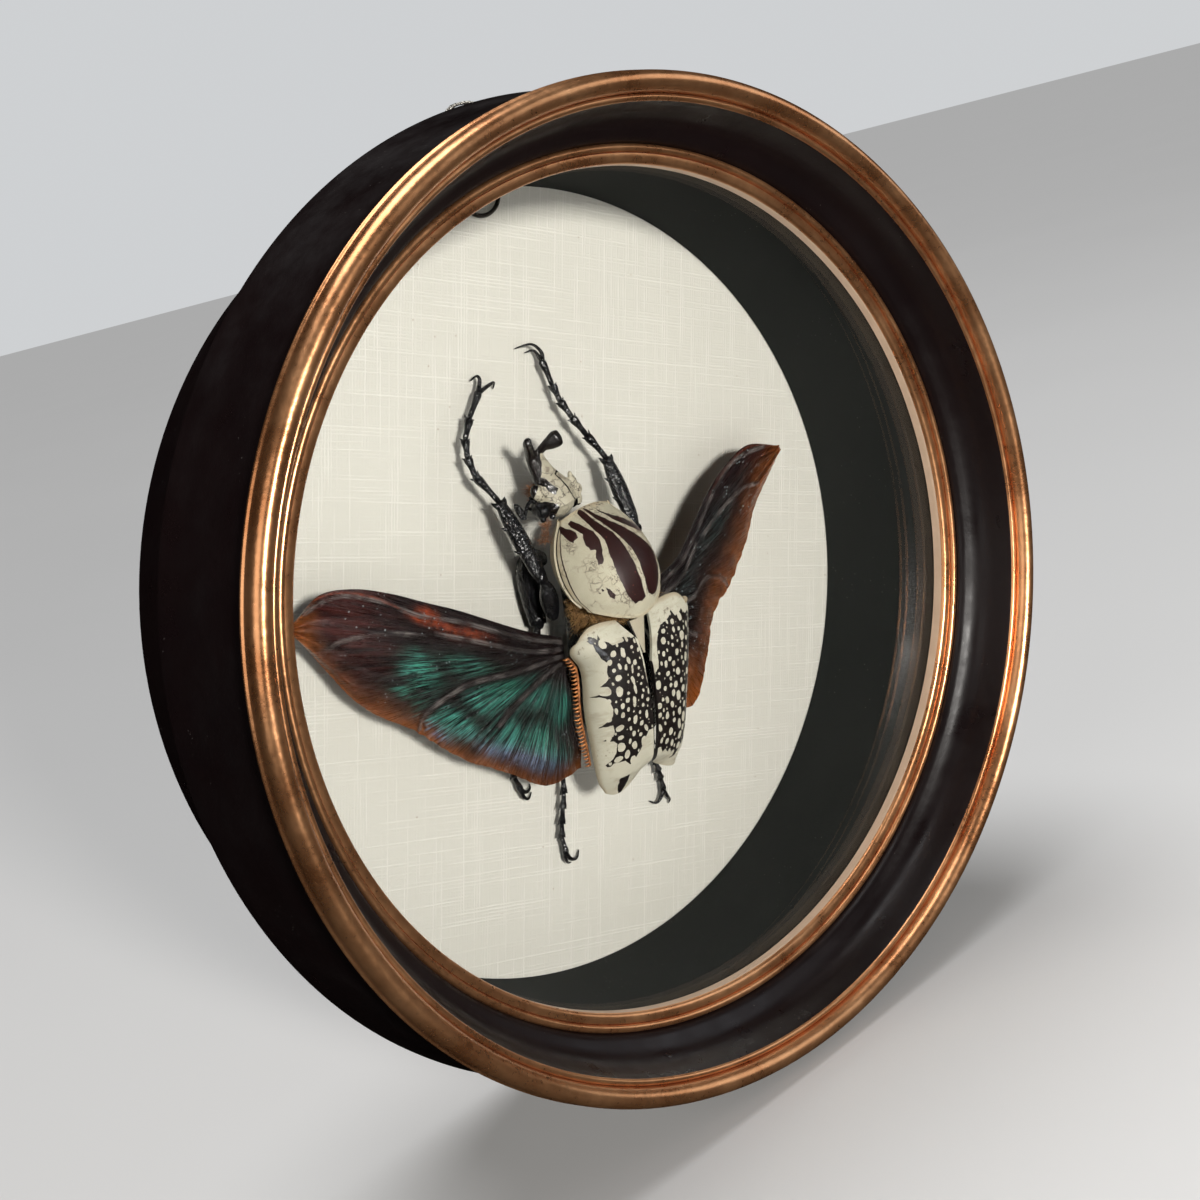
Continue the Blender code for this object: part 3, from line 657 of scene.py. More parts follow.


# Outlines of the dark stripes, drawn in (u, t)
STRIPES = [
    [(-1.02, 0.04), (-0.85, 0.1), (-0.69, 0.155), (-0.7, 0.2), (-0.795, 0.235), (-0.876, 0.195),
     (-0.97, 0.12)],
    [(-0.8, 0.065), (-0.72, 0.05), (-0.655, 0.068), (-0.516, 0.125), (-0.368, 0.19), (-0.346, 0.28),
     (-0.419, 0.365), (-0.516, 0.47), (-0.581, 0.465), (-0.57, 0.405), (-0.522, 0.343), (-0.588, 0.33),
     (-0.631, 0.28), (-0.6, 0.188), (-0.755, 0.107)],
    [(-0.38, 0.005), (-0.3, 0.01), (-0.218, 0.05), (-0.13, 0.15), (0.02, 0.25), (0.045, 0.378),
     (0.03, 0.575), (0.035, 0.7), (0.06, 0.83), (-0.02, 0.86), (-0.1, 0.845), (-0.18, 0.872), (-0.3, 0.78),
     (-0.331, 0.7), (-0.375, 0.565), (-0.339, 0.413), (-0.249, 0.28), (-0.324, 0.195), (-0.419, 0.083),
     (-0.45, 0.03)],
    [(-0.2, 0.008), (-0.1, 0.03), (0.02, 0.085), (0.16, 0.15), (0.32, 0.225), (0.46, 0.32), (0.6, 0.43),
     (0.72, 0.56), (0.66, 0.7), (0.52, 0.82), (0.44, 0.885), (0.29, 0.875), (0.141, 0.812), (0.118, 0.69),
     (0.141, 0.53), (0.156, 0.4), (0.09, 0.29), (0.0, 0.2), (-0.09, 0.12), (-0.17, 0.05)],
    [(0.16, 0.062), (0.353, 0.115), (0.625, 0.2), (0.86, 0.32), (0.93, 0.42), (0.76, 0.37), (0.55, 0.285),
     (0.331, 0.185)],
    [(-0.607, 0.68), (-0.556, 0.7), (-0.502, 0.76), (-0.536, 0.8), (-0.594, 0.78), (-0.6, 0.725)],
    [(-0.67, 0.7), (-0.655, 0.69), (-0.64, 0.715), (-0.665, 0.725)],
    [(-0.72, 0.735), (-0.69, 0.73), (-0.69, 0.745), (-0.72, 0.75)],
]


def shield():
    v, t = np.meshgrid(np.linspace(-1, 1, 260), np.linspace(0, 1, 250), indexing="ij")
    u = np.sin(v * pi / 2)
    places = shield_place(u, t)
    rim = np.exp(-((1 - np.abs(u)) / 0.012) ** 2) + np.exp(-((1 - t) / 0.02) ** 2) * 0.7
    places[..., 1] += 0.22 * rim
    x, z = places[..., 0], places[..., 2]
    near = np.full(u.shape, FAR)
    for outline in STRIPES:
        spots = shield_place(*np.array(outline, float).T)
        near = np.minimum(near, inside(spots[:, [0, 2]], x, z))
    ragged = near + INK_EDGE * ripple(x, z, 3.0, 3)
    hem = np.exp(-((np.abs(u) - 0.968 + 0.006 * ripple(x, z, 1.0, 4)) / 0.007) ** 2) * step(0.0, 0.1, t)
    ink = np.maximum(0.5 - ragged / INK_EDGE, 0.85 * hem)
    stain_and_shade = np.clip(np.exp(-((1 - np.abs(u)) / 0.03) ** 2) + np.exp(-(t / 0.03) ** 2)
                    + np.exp(-((1 - t) / 0.03) ** 2), 0, 1)
    plate("shield_plate", places, PLATE_T, SHIELD, ("shield",),
          {"ink": np.clip(ink, 0, 1), "stain_and_shade": stain_and_shade * (0.6 + 0.4 * ripple(x, z, 1.5, 5))})


CASE_OPEN = {-1: 0.0, 1: 3.2}
CASE_NOTCH = {-1: (3.6, 0.14), 1: (3.4, 0.28)}
CASE_WIDTHS = {
    -1: [0.8, 0.85, 0.73, 0.74, 0.79, 0.815, 0.815, 0.81, 0.8, 0.77, 0.7],
    1: [0.9, 0.98, 0.95, 0.91, 0.87, 0.83, 0.79, 0.76, 0.73, 0.68, 0.58],
}
CASE_MARGINS = {
    -1: [20.6, 18.6, 18.0, 17.6, 17.0, 16.2, 15.2, 14.6],
    1: [22.6, 21.0, 20.2, 19.2, 18.0, 16.8, 15.4, 14.6],
}


CASE_BASE, CASE_END = -5.8, -47.2
CASE_REACH = 17.2          # the width that CASE_WIDTHS are shares of


def case_place(side, s, t):
    """A place on a wing case: s from 0 at the suture to 1 at its outer edge, t from 0 at its base to 1."""
    z = lerp(CASE_BASE, CASE_END, t)
    width = CASE_REACH * along(CASE_WIDTHS[side], t)
    notch, reach = CASE_NOTCH[side]
    late = np.clip((t - 0.82) / 0.18, 0, 1) ** 1.5
    x = lerp(0.25 + notch * np.clip(1 - t / reach, 0, 1) + 1.2 * late, width, s)
    crest = along([24.0, 25.6, 25.8, 25.2, 24.2, 22.6, 20.2, 16.6], t)
    margin = along(CASE_MARGINS[side], t)
    z = z + 0.9 * (1 - t) ** 8 * np.sin(pi * s) + late * (4.0 * np.clip(1 - s, 0, 1) ** 1.6 + 1.8 * s**6)
    z = z - 2.2 * np.clip(1 - t / 0.09, 0, 1) ** 1.5 * np.clip((s - 0.65) / 0.35, 0, 1) ** 2.4
    turn = radians(CASE_OPEN[side])
    up = z - CASE_END
    height = lerp(margin, crest, np.clip(1 - s**2.8, 0, 1) ** 0.55)
    return np.stack([side * (x * cos(turn) + up * sin(turn)), height,
                     CASE_END + up * cos(turn) - x * sin(turn)], -1)


# The black network's outline on each case and its larger white spots, drawn in (s, t)
NETWORK = {
    -1: [(0.0, 0.118), (0.08, 0.12), (0.12, 0.105), (0.21, 0.095), (0.23, 0.12), (0.34, 0.122),
         (0.45, 0.12), (0.477, 0.1), (0.52, 0.09), (0.575, 0.075), (0.577, 0.04), (0.625, 0.07),
         (0.667, 0.052), (0.76, 0.037), (0.8, 0.055), (0.72, 0.085), (0.74, 0.128), (0.74, 0.173),
         (0.7, 0.203), (0.72, 0.225), (0.75, 0.247), (0.73, 0.283), (0.78, 0.302), (0.87, 0.318),
         (0.79, 0.325), (0.8, 0.35), (0.86, 0.356), (0.972, 0.366), (0.87, 0.374), (0.8, 0.385),
         (0.74, 0.413), (0.71, 0.458), (0.73, 0.495), (0.82, 0.518), (0.92, 0.542), (0.82, 0.545),
         (0.74, 0.545), (0.73, 0.583), (0.76, 0.61), (0.9, 0.622), (0.77, 0.638), (0.72, 0.66),
         (0.74, 0.698), (0.79, 0.738), (0.9, 0.772), (0.885, 0.785), (0.84, 0.787), (0.8, 0.772),
         (0.69, 0.777), (0.61, 0.78), (0.52, 0.815), (0.45, 0.8), (0.33, 0.76), (0.23, 0.715),
         (0.12, 0.66), (0.0, 0.66)],
    1: [(0.12, 0.3), (0.09, 0.22), (0.12, 0.15), (0.19, 0.12), (0.3, 0.115), (0.4, 0.1), (0.48, 0.075),
        (0.53, 0.11), (0.62, 0.105), (0.72, 0.09), (0.8, 0.12), (1.02, 0.1), (1.02, 0.8), (0.85, 0.84),
        (0.7, 0.86), (0.62, 0.92), (0.47, 0.935), (0.4, 0.86), (0.3, 0.86), (0.22, 0.83), (0.14, 0.84),
        (0.1, 0.8), (0.0, 0.8), (0.0, 0.36), (0.1, 0.34)],
}
SPOTS = {
    -1: [(0.8, 0.348, 1.5, 1.35), (0.585, 0.37, 1.05, 1.5), (0.377, 0.175, 0.8, 1.4),
         (0.543, 0.165, 0.9, 0.95), (0.667, 0.203, 0.7, 0.85), (0.58, 0.297, 1.0, 0.85),
         (0.41, 0.255, 0.45, 0.95), (0.29, 0.28, 0.45, 1.1), (0.313, 0.34, 0.6, 1.3),
         (0.29, 0.393, 0.5, 1.3), (0.337, 0.458, 0.65, 1.5), (0.557, 0.455, 0.65, 0.85),
         (0.67, 0.47, 0.5, 1.0), (0.573, 0.505, 0.65, 0.85), (0.367, 0.557, 0.75, 1.4),
         (0.65, 0.573, 1.3, 0.9), (0.657, 0.63, 0.9, 0.7), (0.423, 0.635, 0.6, 0.9),
         (0.66, 0.688, 1.2, 1.5), (0.72, 0.755, 1.3, 0.9), (0.167, 0.635, 0.55, 1.5),
         (0.243, 0.705, 0.85, 1.5), (0.13, 0.557, 0.6, 1.3), (0.63, 0.25, 0.6, 0.6)],
    1: [(0.45, 0.13, 0.7, 0.85), (0.46, 0.17, 0.65, 0.9), (0.24, 0.158, 0.9, 0.7), (0.23, 0.205, 1.0, 1.1),
        (0.42, 0.208, 0.5, 0.8), (0.237, 0.273, 0.7, 0.8), (0.26, 0.333, 0.7, 1.1), (0.28, 0.39, 0.9, 0.7),
        (0.2, 0.463, 0.6, 0.8), (0.23, 0.535, 0.7, 1.2), (0.06, 0.43, 1.2, 1.3), (0.05, 0.55, 1.1, 0.9),
        (0.05, 0.605, 0.9, 0.8), (0.223, 0.625, 0.75, 1.2), (0.05, 0.68, 0.7, 1.4),
        (0.24, 0.782, 0.8, 0.9), (0.1, 0.763, 0.6, 0.9)],
}


def spots_in(first, allowed, size_at, tries, gap, seed):
    """Rounded spots that fill a region with thin gaps, as (x, z, across, along, turn)."""
    r = np.random.default_rng(seed)
    kept = list(first)
    for shrink in (1.0, 0.72, 0.5, 0.34, 0.22):
        for _ in range(tries):
            x, z = r.uniform(-25, 25), r.uniform(-46, -4)
            if not allowed(x, z):
                continue
            size = size_at(x, z) * shrink * r.uniform(0.75, 1.2)
            tall = r.uniform(1.0, 1.9)
            if all(((x - a) / (size + b + gap)) ** 2 + ((z - c) / (size * tall + d + gap)) ** 2 > 1
                   for a, c, b, d, _ in kept):
                kept.append((x, z, size, size * tall, r.uniform(-0.25, 0.25)))
    return kept


SPOT_S = [0.0, 0.15, 0.35, 0.6, 1.0]
SPOT_SIZE = [0.31, 0.37, 0.56, 0.72, 0.55]
CASE_TIP = [(0.73, 0.935), (0.69, 0.888), (0.58, 0.885), (0.507, 0.878), (0.5, 0.93), (0.57, 0.97),
            (0.68, 1.0), (0.75, 1.0)]
CASE_SCAR = [(0.8, 0.055), (0.73, 0.05), (0.66, 0.09), (0.66, 0.13), (0.6, 0.16), (0.66, 0.19), (0.74, 0.17),
             (0.74, 0.125), (0.73, 0.09)]


def wing_case(side):
    """A wing case with its ink: the network round packed spots, the seam and the left one's tip and scar."""
    s, t = np.meshgrid(np.linspace(0, 1, 190), np.linspace(0, 1, 440), indexing="ij")
    s = 1 - (1 - s) ** 1.35
    places = case_place(side, s, t)
    places[..., 1] += 0.15 * np.exp(-((1 - s) / 0.02) ** 2)
    x, z = places[..., 0], places[..., 2]

    def within(outline):
        """Signed distances from an outline in (s, t)."""
        return inside(case_place(side, *np.array(outline, float).T)[:, [0, 2]], x, z)

    near = within(NETWORK[side]) + 0.14 * ripple(x, z, 2.6, 8)
    rough = slice(None, None, 6), slice(None, None, 8)
    x_c, z_c, s_c, n_c = (values[rough].ravel() for values in (x, z, s, near))

    def lookup(px, pz):
        """s and the distance from the network's outline, from the nearest of some places on the case."""
        gap = (x_c - px) ** 2 + (z_c - pz) ** 2
        k = np.argmin(gap)
        return (9.0, 9.0) if gap[k] > 1.0 else (s_c[k], n_c[k])

    def size_at(px, pz):
        return float(np.interp(lookup(px, pz)[0], SPOT_S, SPOT_SIZE))

    first = []
    for p, q, a, b in SPOTS[side]:
        spot = case_place(side, np.array(p), np.array(q))
        first.append((spot[0], spot[2], a * 0.70, b * 0.76, rng.uniform(-0.3, 0.3)))
    white = np.full(x.shape, FAR)
    found = spots_in(first, lambda px, pz: lookup(px, pz)[1] < -0.15, size_at, 1000, 0.48, 21 + side)
    for px, pz, a, b, turn in found:
        dx, dz = x - px, z - pz
        c, q = cos(turn), sin(turn)
        box = (np.abs(dx * c + dz * q) / a) ** 2.3 + (np.abs(dz * c - dx * q) / b) ** 2.3
        white = np.minimum(white, (box ** (1 / 2.3) - 1) * a)
    white = white + 0.13 * ripple(x, z, 3.4, 12)
    ink = np.minimum(0.5 + white / 0.13, 0.5 - near / INK_EDGE)
    scar = np.zeros(x.shape)
    if side < 0:
        ink = np.maximum(ink, 0.5 - (within(CASE_TIP) + 0.4 * ripple(x, z, 1.4, 15)) / INK_EDGE)
        scar = step(0.2, -0.3, within(CASE_SCAR) + 0.3 * ripple(x, z, 1.5, 17))
        ink = np.maximum(ink, scar)
    seam = np.clip(1 - s / 0.02, 0, 1) * step(0.25, 0.35, t) * 2
    stain_and_shade = np.exp(-((1 - s) / 0.03) ** 2) * 0.8 + np.exp(-(t / 0.02) ** 2) + step(0.9, 1.0, t) * 0.3
    plate(f"case_plate_{SIDES[side]}", places, PLATE_T, CASE, (f"wing_case_{SIDES[side]}",),
          {"ink": np.clip(np.maximum(ink, seam), 0, 1), "stain_and_shade": np.clip(stain_and_shade, 0, 1), "worn": scar})


def scutellum():
    s, t = np.meshgrid(np.linspace(0, 1, 24), np.linspace(0, 1, 40), indexing="ij")
    half = lerp(2.5, 0.25, t)
    x = lerp(1.9, 1.1, t) + (2 * s - 1) * half
    places = np.stack([x, lerp(24.2, 24.9, t) + 0.35 * np.sin(pi * s), lerp(-7.4, -15.2, t)], -1)
    ink = 0.8 * np.exp(-((1 - np.abs(2 * s - 1)) / 0.2) ** 2)
    plate("scutellum_plate", places, PLATE_T, CASE, ("scutellum",),
          {"ink": ink, "stain_and_shade": 0.6 + 0 * s})


# Beetle: flight wings

LEADING = {
    -1: [(12.6, -7.0), (20.5, -2.5), (33.0, 6.4), (41.0, 11.4), (49.0, 16.4), (57.0, 20.2), (65.0, 21.6),
         (72.8, 18.0)],
    1: [(12.6, -7.0), (19.5, -4.5), (27.0, -2.6), (34.5, 3.5), (41.5, 9.4), (49.0, 13.8), (58.0, 16.4),
        (68.4, 13.2)],
}
TRAILING = {
    -1: [(14.0, -38.6), (24.5, -38.4), (34.0, -31.0), (44.0, -23.2), (53.5, -12.6), (62.5, -4.2),
         (68.0, 5.0), (73.4, 16.4)],
    1: [(15.8, -36.6), (22.6, -37.6), (29.0, -29.2), (34.5, -19.4), (42.4, -14.0), (50.6, -6.0),
        (56.4, 1.6), (68.8, 12.0)],
}
ROOT = np.array([12.4, -11.0])
VEINS = [
    [(0.013, 0.143), (0.179, 0.282), (0.319, 0.448), (0.437, 0.614), (0.524, 0.83), (0.546, 0.958)],
    [(0.031, 0.208), (0.114, 0.313), (0.197, 0.486), (0.266, 0.683)],
    [(0.882, 0.753), (0.79, 0.498), (0.681, 0.367), (0.568, 0.29), (0.467, 0.232)],
    [(0.01, 0.04), (0.15, 0.05), (0.3, 0.07), (0.46, 0.1), (0.61, 0.075), (0.77, 0.06), (0.92, 0.09)],
    [(0.01, 0.09), (0.14, 0.13), (0.28, 0.17), (0.42, 0.19)],
]


# Soft patches of painted green sheen on the left wing, as (strength, width, height, places in (s, t))
GREEN_SHEEN = [
    (1.0, 0.045, 0.08, [(0.489, 0.45), (0.53, 0.56)]),
    (0.55, 0.05, 0.05, [(0.57, 0.72), (0.36, 0.36), (0.3, 0.33)]),
    (1.0, 0.055, 0.07, [(0.25, 0.475), (0.31, 0.56), (0.19, 0.4)]),
    (0.8, 0.03, 0.07, [(0.12, 0.36), (0.14, 0.42)]),
    (1.0, 0.045, 0.07, [(0.44, 0.74), (0.48, 0.84), (0.4, 0.77), (0.5, 0.91)]),
    (1.0, 0.045, 0.08, [(0.227, 0.7), (0.21, 0.79), (0.25, 0.8), (0.165, 0.84), (0.31, 0.86)]),
    (0.8, 0.03, 0.09, [(0.135, 0.68), (0.153, 0.76), (0.066, 0.54), (0.05, 0.47), (0.09, 0.85)]),
]
# Places of a painted lilac sheen on the left wing, in (s, t)
LILAC_SHEEN = [(0.17, 0.88), (0.22, 0.9), (0.33, 0.9), (0.5, 0.93), (0.1, 0.95)]
# Places where painted glints are denser on the left wing, in (s, t)
GLINT_SPOTS = [(0.33, 0.14), (0.44, 0.26), (0.8, 0.35), (0.7, 0.25), (0.62, 0.2)]
EMBERS = [(0.43, 0.066), (0.47, 0.12), (0.4, 0.12), (0.35, 0.15), (0.27, 0.12)]
# The red line near the leading edge of the left wing: s and t along it
EMBER_S = [0.46, 0.55, 0.61, 0.70, 0.77, 0.87, 1.0]
EMBER_T = [0.14, 0.085, 0.06, 0.036, 0.030, 0.026, 0.0]
REACH = 60.0               # distance from a wing's root at which its folds are full
DRAWN_H = 12.0             # height at which the wings' outlines were read off the photo
LEAN_X, LEAN_Z = 0.737, 0.313      # how far a place a millimetre lower moves across and down in the photo


def wing_shades(side, s, t, x, z, edge, vein):
    """The shades of a flight wing by name. Edge and vein are distances from its trailing edge and veins."""

    def blob(points, wide, tall):
        """A soft patch round each of some places in (s, t)."""
        return np.clip(sum(np.exp(-((s - a) / wide) ** 2 - ((t - b) / tall) ** 2) for a, b in points), 0, 1)

    if side < 0:
        rim = np.exp(-(edge / 2.6) ** 1.3) * (0.55 + 0.45 * step(0.1, 0.5, s)) + 0.8 * step(0.84, 0.99, s)
        red = 0.6 * step(0.50, 0.72, s) * (1 - step(0.35, 0.8, t))
        red = red + 0.4 * step(0.45, 0.9, s) * step(0.5, 0.9, t)
        line = np.exp(-((t - np.interp(s, EMBER_S, EMBER_T)) / 0.011) ** 2)
        fire = line * step(0.44, 0.52, s) * 0.55 + blob(EMBERS, 0.035, 0.035)
        fire = fire * (0.6 + 0.8 * ripple(x, z, 2.2, 44))
        # Painted sheen: green patches, turning lilac towards the trailing edge
        green_sheen = sum(share * blob(places, wide, tall) for share, wide, tall, places in GREEN_SHEEN)
        green_sheen = np.clip(green_sheen, 0, 1) * (1 - 0.85 * np.exp(-(edge / 1.8) ** 2)) * step(0.5, 1.9, vein)
        lilac_sheen = blob(LILAC_SHEEN, 0.07, 0.09)
        # How strongly painted glints show
        painted_glint = 0.25 + blob(GLINT_SPOTS, 0.08, 0.08) * 0.9
    else:
        rim = np.exp(-(edge / 4.2) ** 1.4) * (0.9 + 0.1 * s) + 0.35 * step(0.93, 1.0, s)
        rim = rim + 0.9 * step(0.62, 0.78, t) * (1 - step(0.10, 0.26, s))
        red = 0.25 * step(0.7, 0.95, s) + 0.35 * step(0.6, 0.85, t)
        fire = 0.25 * np.exp(-((t - 0.04) / 0.02) ** 2) * step(0.5, 0.8, s)
        # A faint painted sheen on the right wing
        green_sheen = 0.08 * blob([(0.5, 0.3), (0.6, 0.4), (0.3, 0.3)], 0.09, 0.12)
        lilac_sheen = 0.3 + 0 * s
        # Painted glints, denser further out
        painted_glint = 0.6 + 0.4 * step(0.2, 0.6, s)
    rim = rim * (0.75 + 0.5 * ripple(x, z, 0.8, 6))
    shades = {"rim": rim, "red": red, "fire": fire, "green_sheen": green_sheen, "lilac_sheen": lilac_sheen, "painted_glint": painted_glint}
    return {name: np.clip(values, 0, 1) for name, values in shades.items()}


def flight_wing(side):
    """A spread wing: an outline in (x, z), folded in fans from its root, with raised veins."""
    s, t = np.meshgrid(np.linspace(0, 1, 230), np.linspace(0, 1, 260), indexing="ij")
    lead, trail = along(LEADING[side], s), along(TRAILING[side], s)
    torn = np.abs(ripple(trail[..., 0], trail[..., 1], 0.9, 61)) * (0.9 if side > 0 else 0.5) * np.sin(pi * s)
    trail = trail + torn[..., None] * np.array((-0.35, 0.94))
    spot = lerp(lead, trail, t[..., None])
    away = spot - ROOT
    distance = np.linalg.norm(away, axis=-1)
    reach = np.minimum(1.0, distance / REACH)
    fan = np.arctan2(-away[..., 1], away[..., 0])
    height = lerp(15.0, 10.5, s) - 3.4 * t * (1 - 0.5 * s) + 1.6 * np.sin(pi * s)
    height = height + 0.9 * np.sin(t * 5.5 * pi) * reach**0.5
    height = height + 0.3 * np.sin(fan * 46 + 1.5 * np.sin(distance / 9)) * reach**0.5 * step(0.03, 0.12, t)
    height = height + 0.15 * ripple(spot[..., 0], spot[..., 1], 0.35, 31 + side)
    vein = np.full(s.shape, 99.0)
    for path in VEINS:
        path = np.array(path)
        spots = lerp(along(LEADING[side], path[:, 0]), along(TRAILING[side], path[:, 0]), path[:, 1:])
        fine = along(spots, np.linspace(0, 1, 60))
        for a, b in zip(fine[:-1], fine[1:]):
            share = np.clip(((spot - a) @ (b - a)) / ((b - a) @ (b - a)), 0, 1)
            vein = np.minimum(vein, np.linalg.norm(spot - a - share[..., None] * (b - a), axis=-1))
    ridge = 0.55 * np.exp(-(vein / 0.45) ** 2) - 0.35 * np.exp(-(vein / 1.6) ** 2)
    height = height + ridge * step(0.0, 0.15, reach)
    below = (DRAWN_H - height) * np.minimum(1.0, 4 * s)
    x = side * spot[..., 0] + LEAN_X * below
    z = spot[..., 1] - LEAN_Z * below
    edge = (1 - t) * np.linalg.norm(trail - lead, axis=-1)
    shades = wing_shades(side, s, t, x, z, edge, vein)
    # The band along the vein crests, where wing_film paints a highlight
    shades.update(fan=fan, reach=distance / REACH, vein=np.exp(-((vein - 0.25) / 0.22) ** 2))
    plate(f"wing_film_{SIDES[side]}", np.stack([x, height, z], -1), FILM_T, FILM,
          (f"flight_wing_{SIDES[side]}",), shades)


# Beetle: body, head and limbs

def remeshed(build, name, voxel, smooth_steps):
    """One closed skin over the shapes of a build, as points in mm and faces."""
    raw = bpy.data.meshes.new(name + "_raw")
    raw.from_pydata([tuple(p) for p in build.points], [], build.faces)
    holder = bpy.data.objects.new(name + "_raw", raw)
    bpy.context.scene.collection.objects.link(holder)
    skin = holder.modifiers.new("skin", "REMESH")
    skin.mode = "VOXEL"
    skin.voxel_size = voxel
    soft = holder.modifiers.new("soft", "SMOOTH")
    soft.iterations = smooth_steps
    bpy.context.view_layer.update()
    done = bpy.data.meshes.new_from_object(holder.evaluated_get(bpy.context.evaluated_depsgraph_get()))
    points = np.array([v.co for v in done.vertices], float)
    faces = [tuple(f.vertices) for f in done.polygons]
    bpy.data.objects.remove(holder)
    return points, faces


# Head: balls as (centre, radii, turn) and tubes as (path, radii, sides, flat)
HEAD_BALLS = [
    ((-2.3, 12.0, 22.2), (5.0, 3.9, 4.6), 0), ((-7.6, 13.2, 24.8), (1.6, 1.2, 2.0), 25),
    ((-7.0, 11.6, 21.0), (1.9, 2.0, 2.0), 0), ((1.8, 11.6, 21.0), (1.9, 2.0, 2.0), 0),
    ((1.9, 13.8, 24.2), (1.3, 0.8, 2.0), 0), ((2.9, 13.8, 22.6), (1.2, 0.8, 1.4), 0),
    ((1.7, 14.0, 26.0), (0.6, 0.6, 1.1), 0), ((2.2, 13.5, 20.6), (1.5, 0.9, 1.8), 0),
]
HEAD_TUBES = [
    ([(-2.3, 13.4, 20.4), (-2.6, 13.0, 24.0), (-3.9, 12.0, 28.0), (-4.1, 10.9, 31.2), (-4.1, 10.4, 33.0)],
     [4.4, 4.3, 3.0, 2.4, 2.1], 20, 0.62),
    ([(-1.6, 13.2, 22.6), (0.4, 13.5, 22.8), (2.0, 13.7, 22.8)], [2.6, 2.3, 1.8], 16, 0.5),
    ([(-4.6, 10.6, 31.4), (-5.3, 11.2, 33.0), (-6.3, 12.6, 34.6), (-7.4, 14.0, 36.0), (-7.8, 15.0, 36.6)],
     [1.6, 1.35, 1.15, 1.1, 0.9], 14, 0.9),
    ([(-3.8, 10.6, 31.4), (-3.3, 11.2, 32.7), (-2.3, 12.4, 33.8), (-1.2, 13.6, 34.3), (0.1, 14.4, 34.9),
      (1.0, 14.8, 35.1)], [1.5, 1.0, 1.0, 1.6, 2.0, 1.7], 16, 0.8),
    ([(-5.6, 13.2, 24.0), (-5.4, 13.6, 26.0), (-4.4, 13.0, 28.2), (-4.2, 12.0, 31.0)],
     [0.9, 0.9, 0.8, 0.7], 12, 1.0),
]
# The edge of the black face as x at some z, the dark hollows as outlines in (x, z), and a crease
FACE_Z = [24.0, 25.4, 27.0, 28.7, 31.5, 32.8]
FACE_X = [-8.9, -8.3, -6.7, -5.1, -4.0, -3.3]
PITS = [(-8.8, 23.0), (-6.6, 22.6), (-5.2, 21.6), (-4.6, 20.2), (-5.0, 18.4), (-7.0, 17.6), (-9.4, 19.8)]
WEDGE = [(-7.9, 27.6), (-6.2, 27.9), (-5.0, 27.2), (-4.2, 25.6), (-3.6, 24.6), (-4.5, 23.3), (-5.6, 24.4),
         (-5.8, 25.6), (-7.0, 26.6)]
CREASE = [(-2.4, 27.6), (-1.4, 25.2), (-0.2, 22.2), (0.8, 19.0), (9, 19), (9, 28)]
BEADS = [(-8.4, 13.4, 22.2, 0.8), (-6.2, 14.6, 19.0, 0.7), (-8.2, 13.6, 18.9, 0.7), (-5.6, 14.9, 21.4, 0.6)]
JAWS = [((-4.6, 9.2, 23.6), (1.6, 1.1, 1.8)), ((0.2, 8.9, 24.0), (2.0, 1.0, 2.2)),
        ((-2.6, 8.4, 25.2), (2.4, 0.9, 2.0))]
PALPS = [[(-6.6, 11.6, 22.4), (-7.9, 11.4, 23.0), (-8.4, 11.0, 24.2)],
         [(-6.4, 10.4, 21.0), (-7.6, 10.0, 20.8), (-8.4, 9.6, 21.6)]]


def head():
    """The chalky head with its black face and horn, the eyes with some beads beside them, and the jaws."""
    b = Build()
    for centre, radii, turn in HEAD_BALLS:
        b.ball(centre, radii, turn=turn)
    for path, radii, sides, flat in HEAD_TUBES:
        b.tube(path, radii, sides, flat)
    points, faces = remeshed(b, "head", 0.2, 4)
    x, h, z = points.T
    rough = 0.35 * ripple(x, z, 1.6, 2)
    face = step(0.25, -0.25, x - np.interp(z, FACE_Z, FACE_X) + rough)
    pits = step(0.2, -0.2, inside(PITS, x, z) + rough)
    wedge = step(0.15, -0.2, inside(WEDGE, x, z) + 0.6 * rough)
    crease = step(0.24, 0.08, np.abs(inside(CREASE, x, z) + rough))
    horn = step(32.2, 33.2, z + rough)
    throat = 1 - step(9.6, 10.6, h)
    ink = np.clip(np.maximum.reduce([face, pits, wedge, horn, crease, throat]), 0, 1)
    mesh_of("head_shell", world(points), faces, HEAD, ("head",), {"ink": ink})
    for side in SIDES:
        eye = Build().ball((-3.0 + side * 4.2, 12.6, 20.4), (1.6, 1.9, 1.7), 28, 18)
        for *centre, radius in BEADS if side < 0 else ():
            eye.ball(centre, radius, 18, 12)
        eye.piece(f"eye_{SIDES[side]}", JET, "chitin")
    jaw = Build()
    for centre, radii in JAWS:
        jaw.ball(centre, radii)
    for path in PALPS:
        jaw.tube(path, [0.8, 0.6, 0.3], 10)
    jaw.piece("mouthparts", BLACK, "chitin")


FEELER_X = -2.4            # the line between the antennae
STEM = [(5.2, 10.2, 23.2), (6.2, 9.6, 22.2), (6.8, 9.1, 20.7), (7.1, 8.6, 19.5)]
CLUB = [(7.1, 8.6, 19.4), (7.5, 8.3, 21.0), (8.0, 7.9, 23.2)]


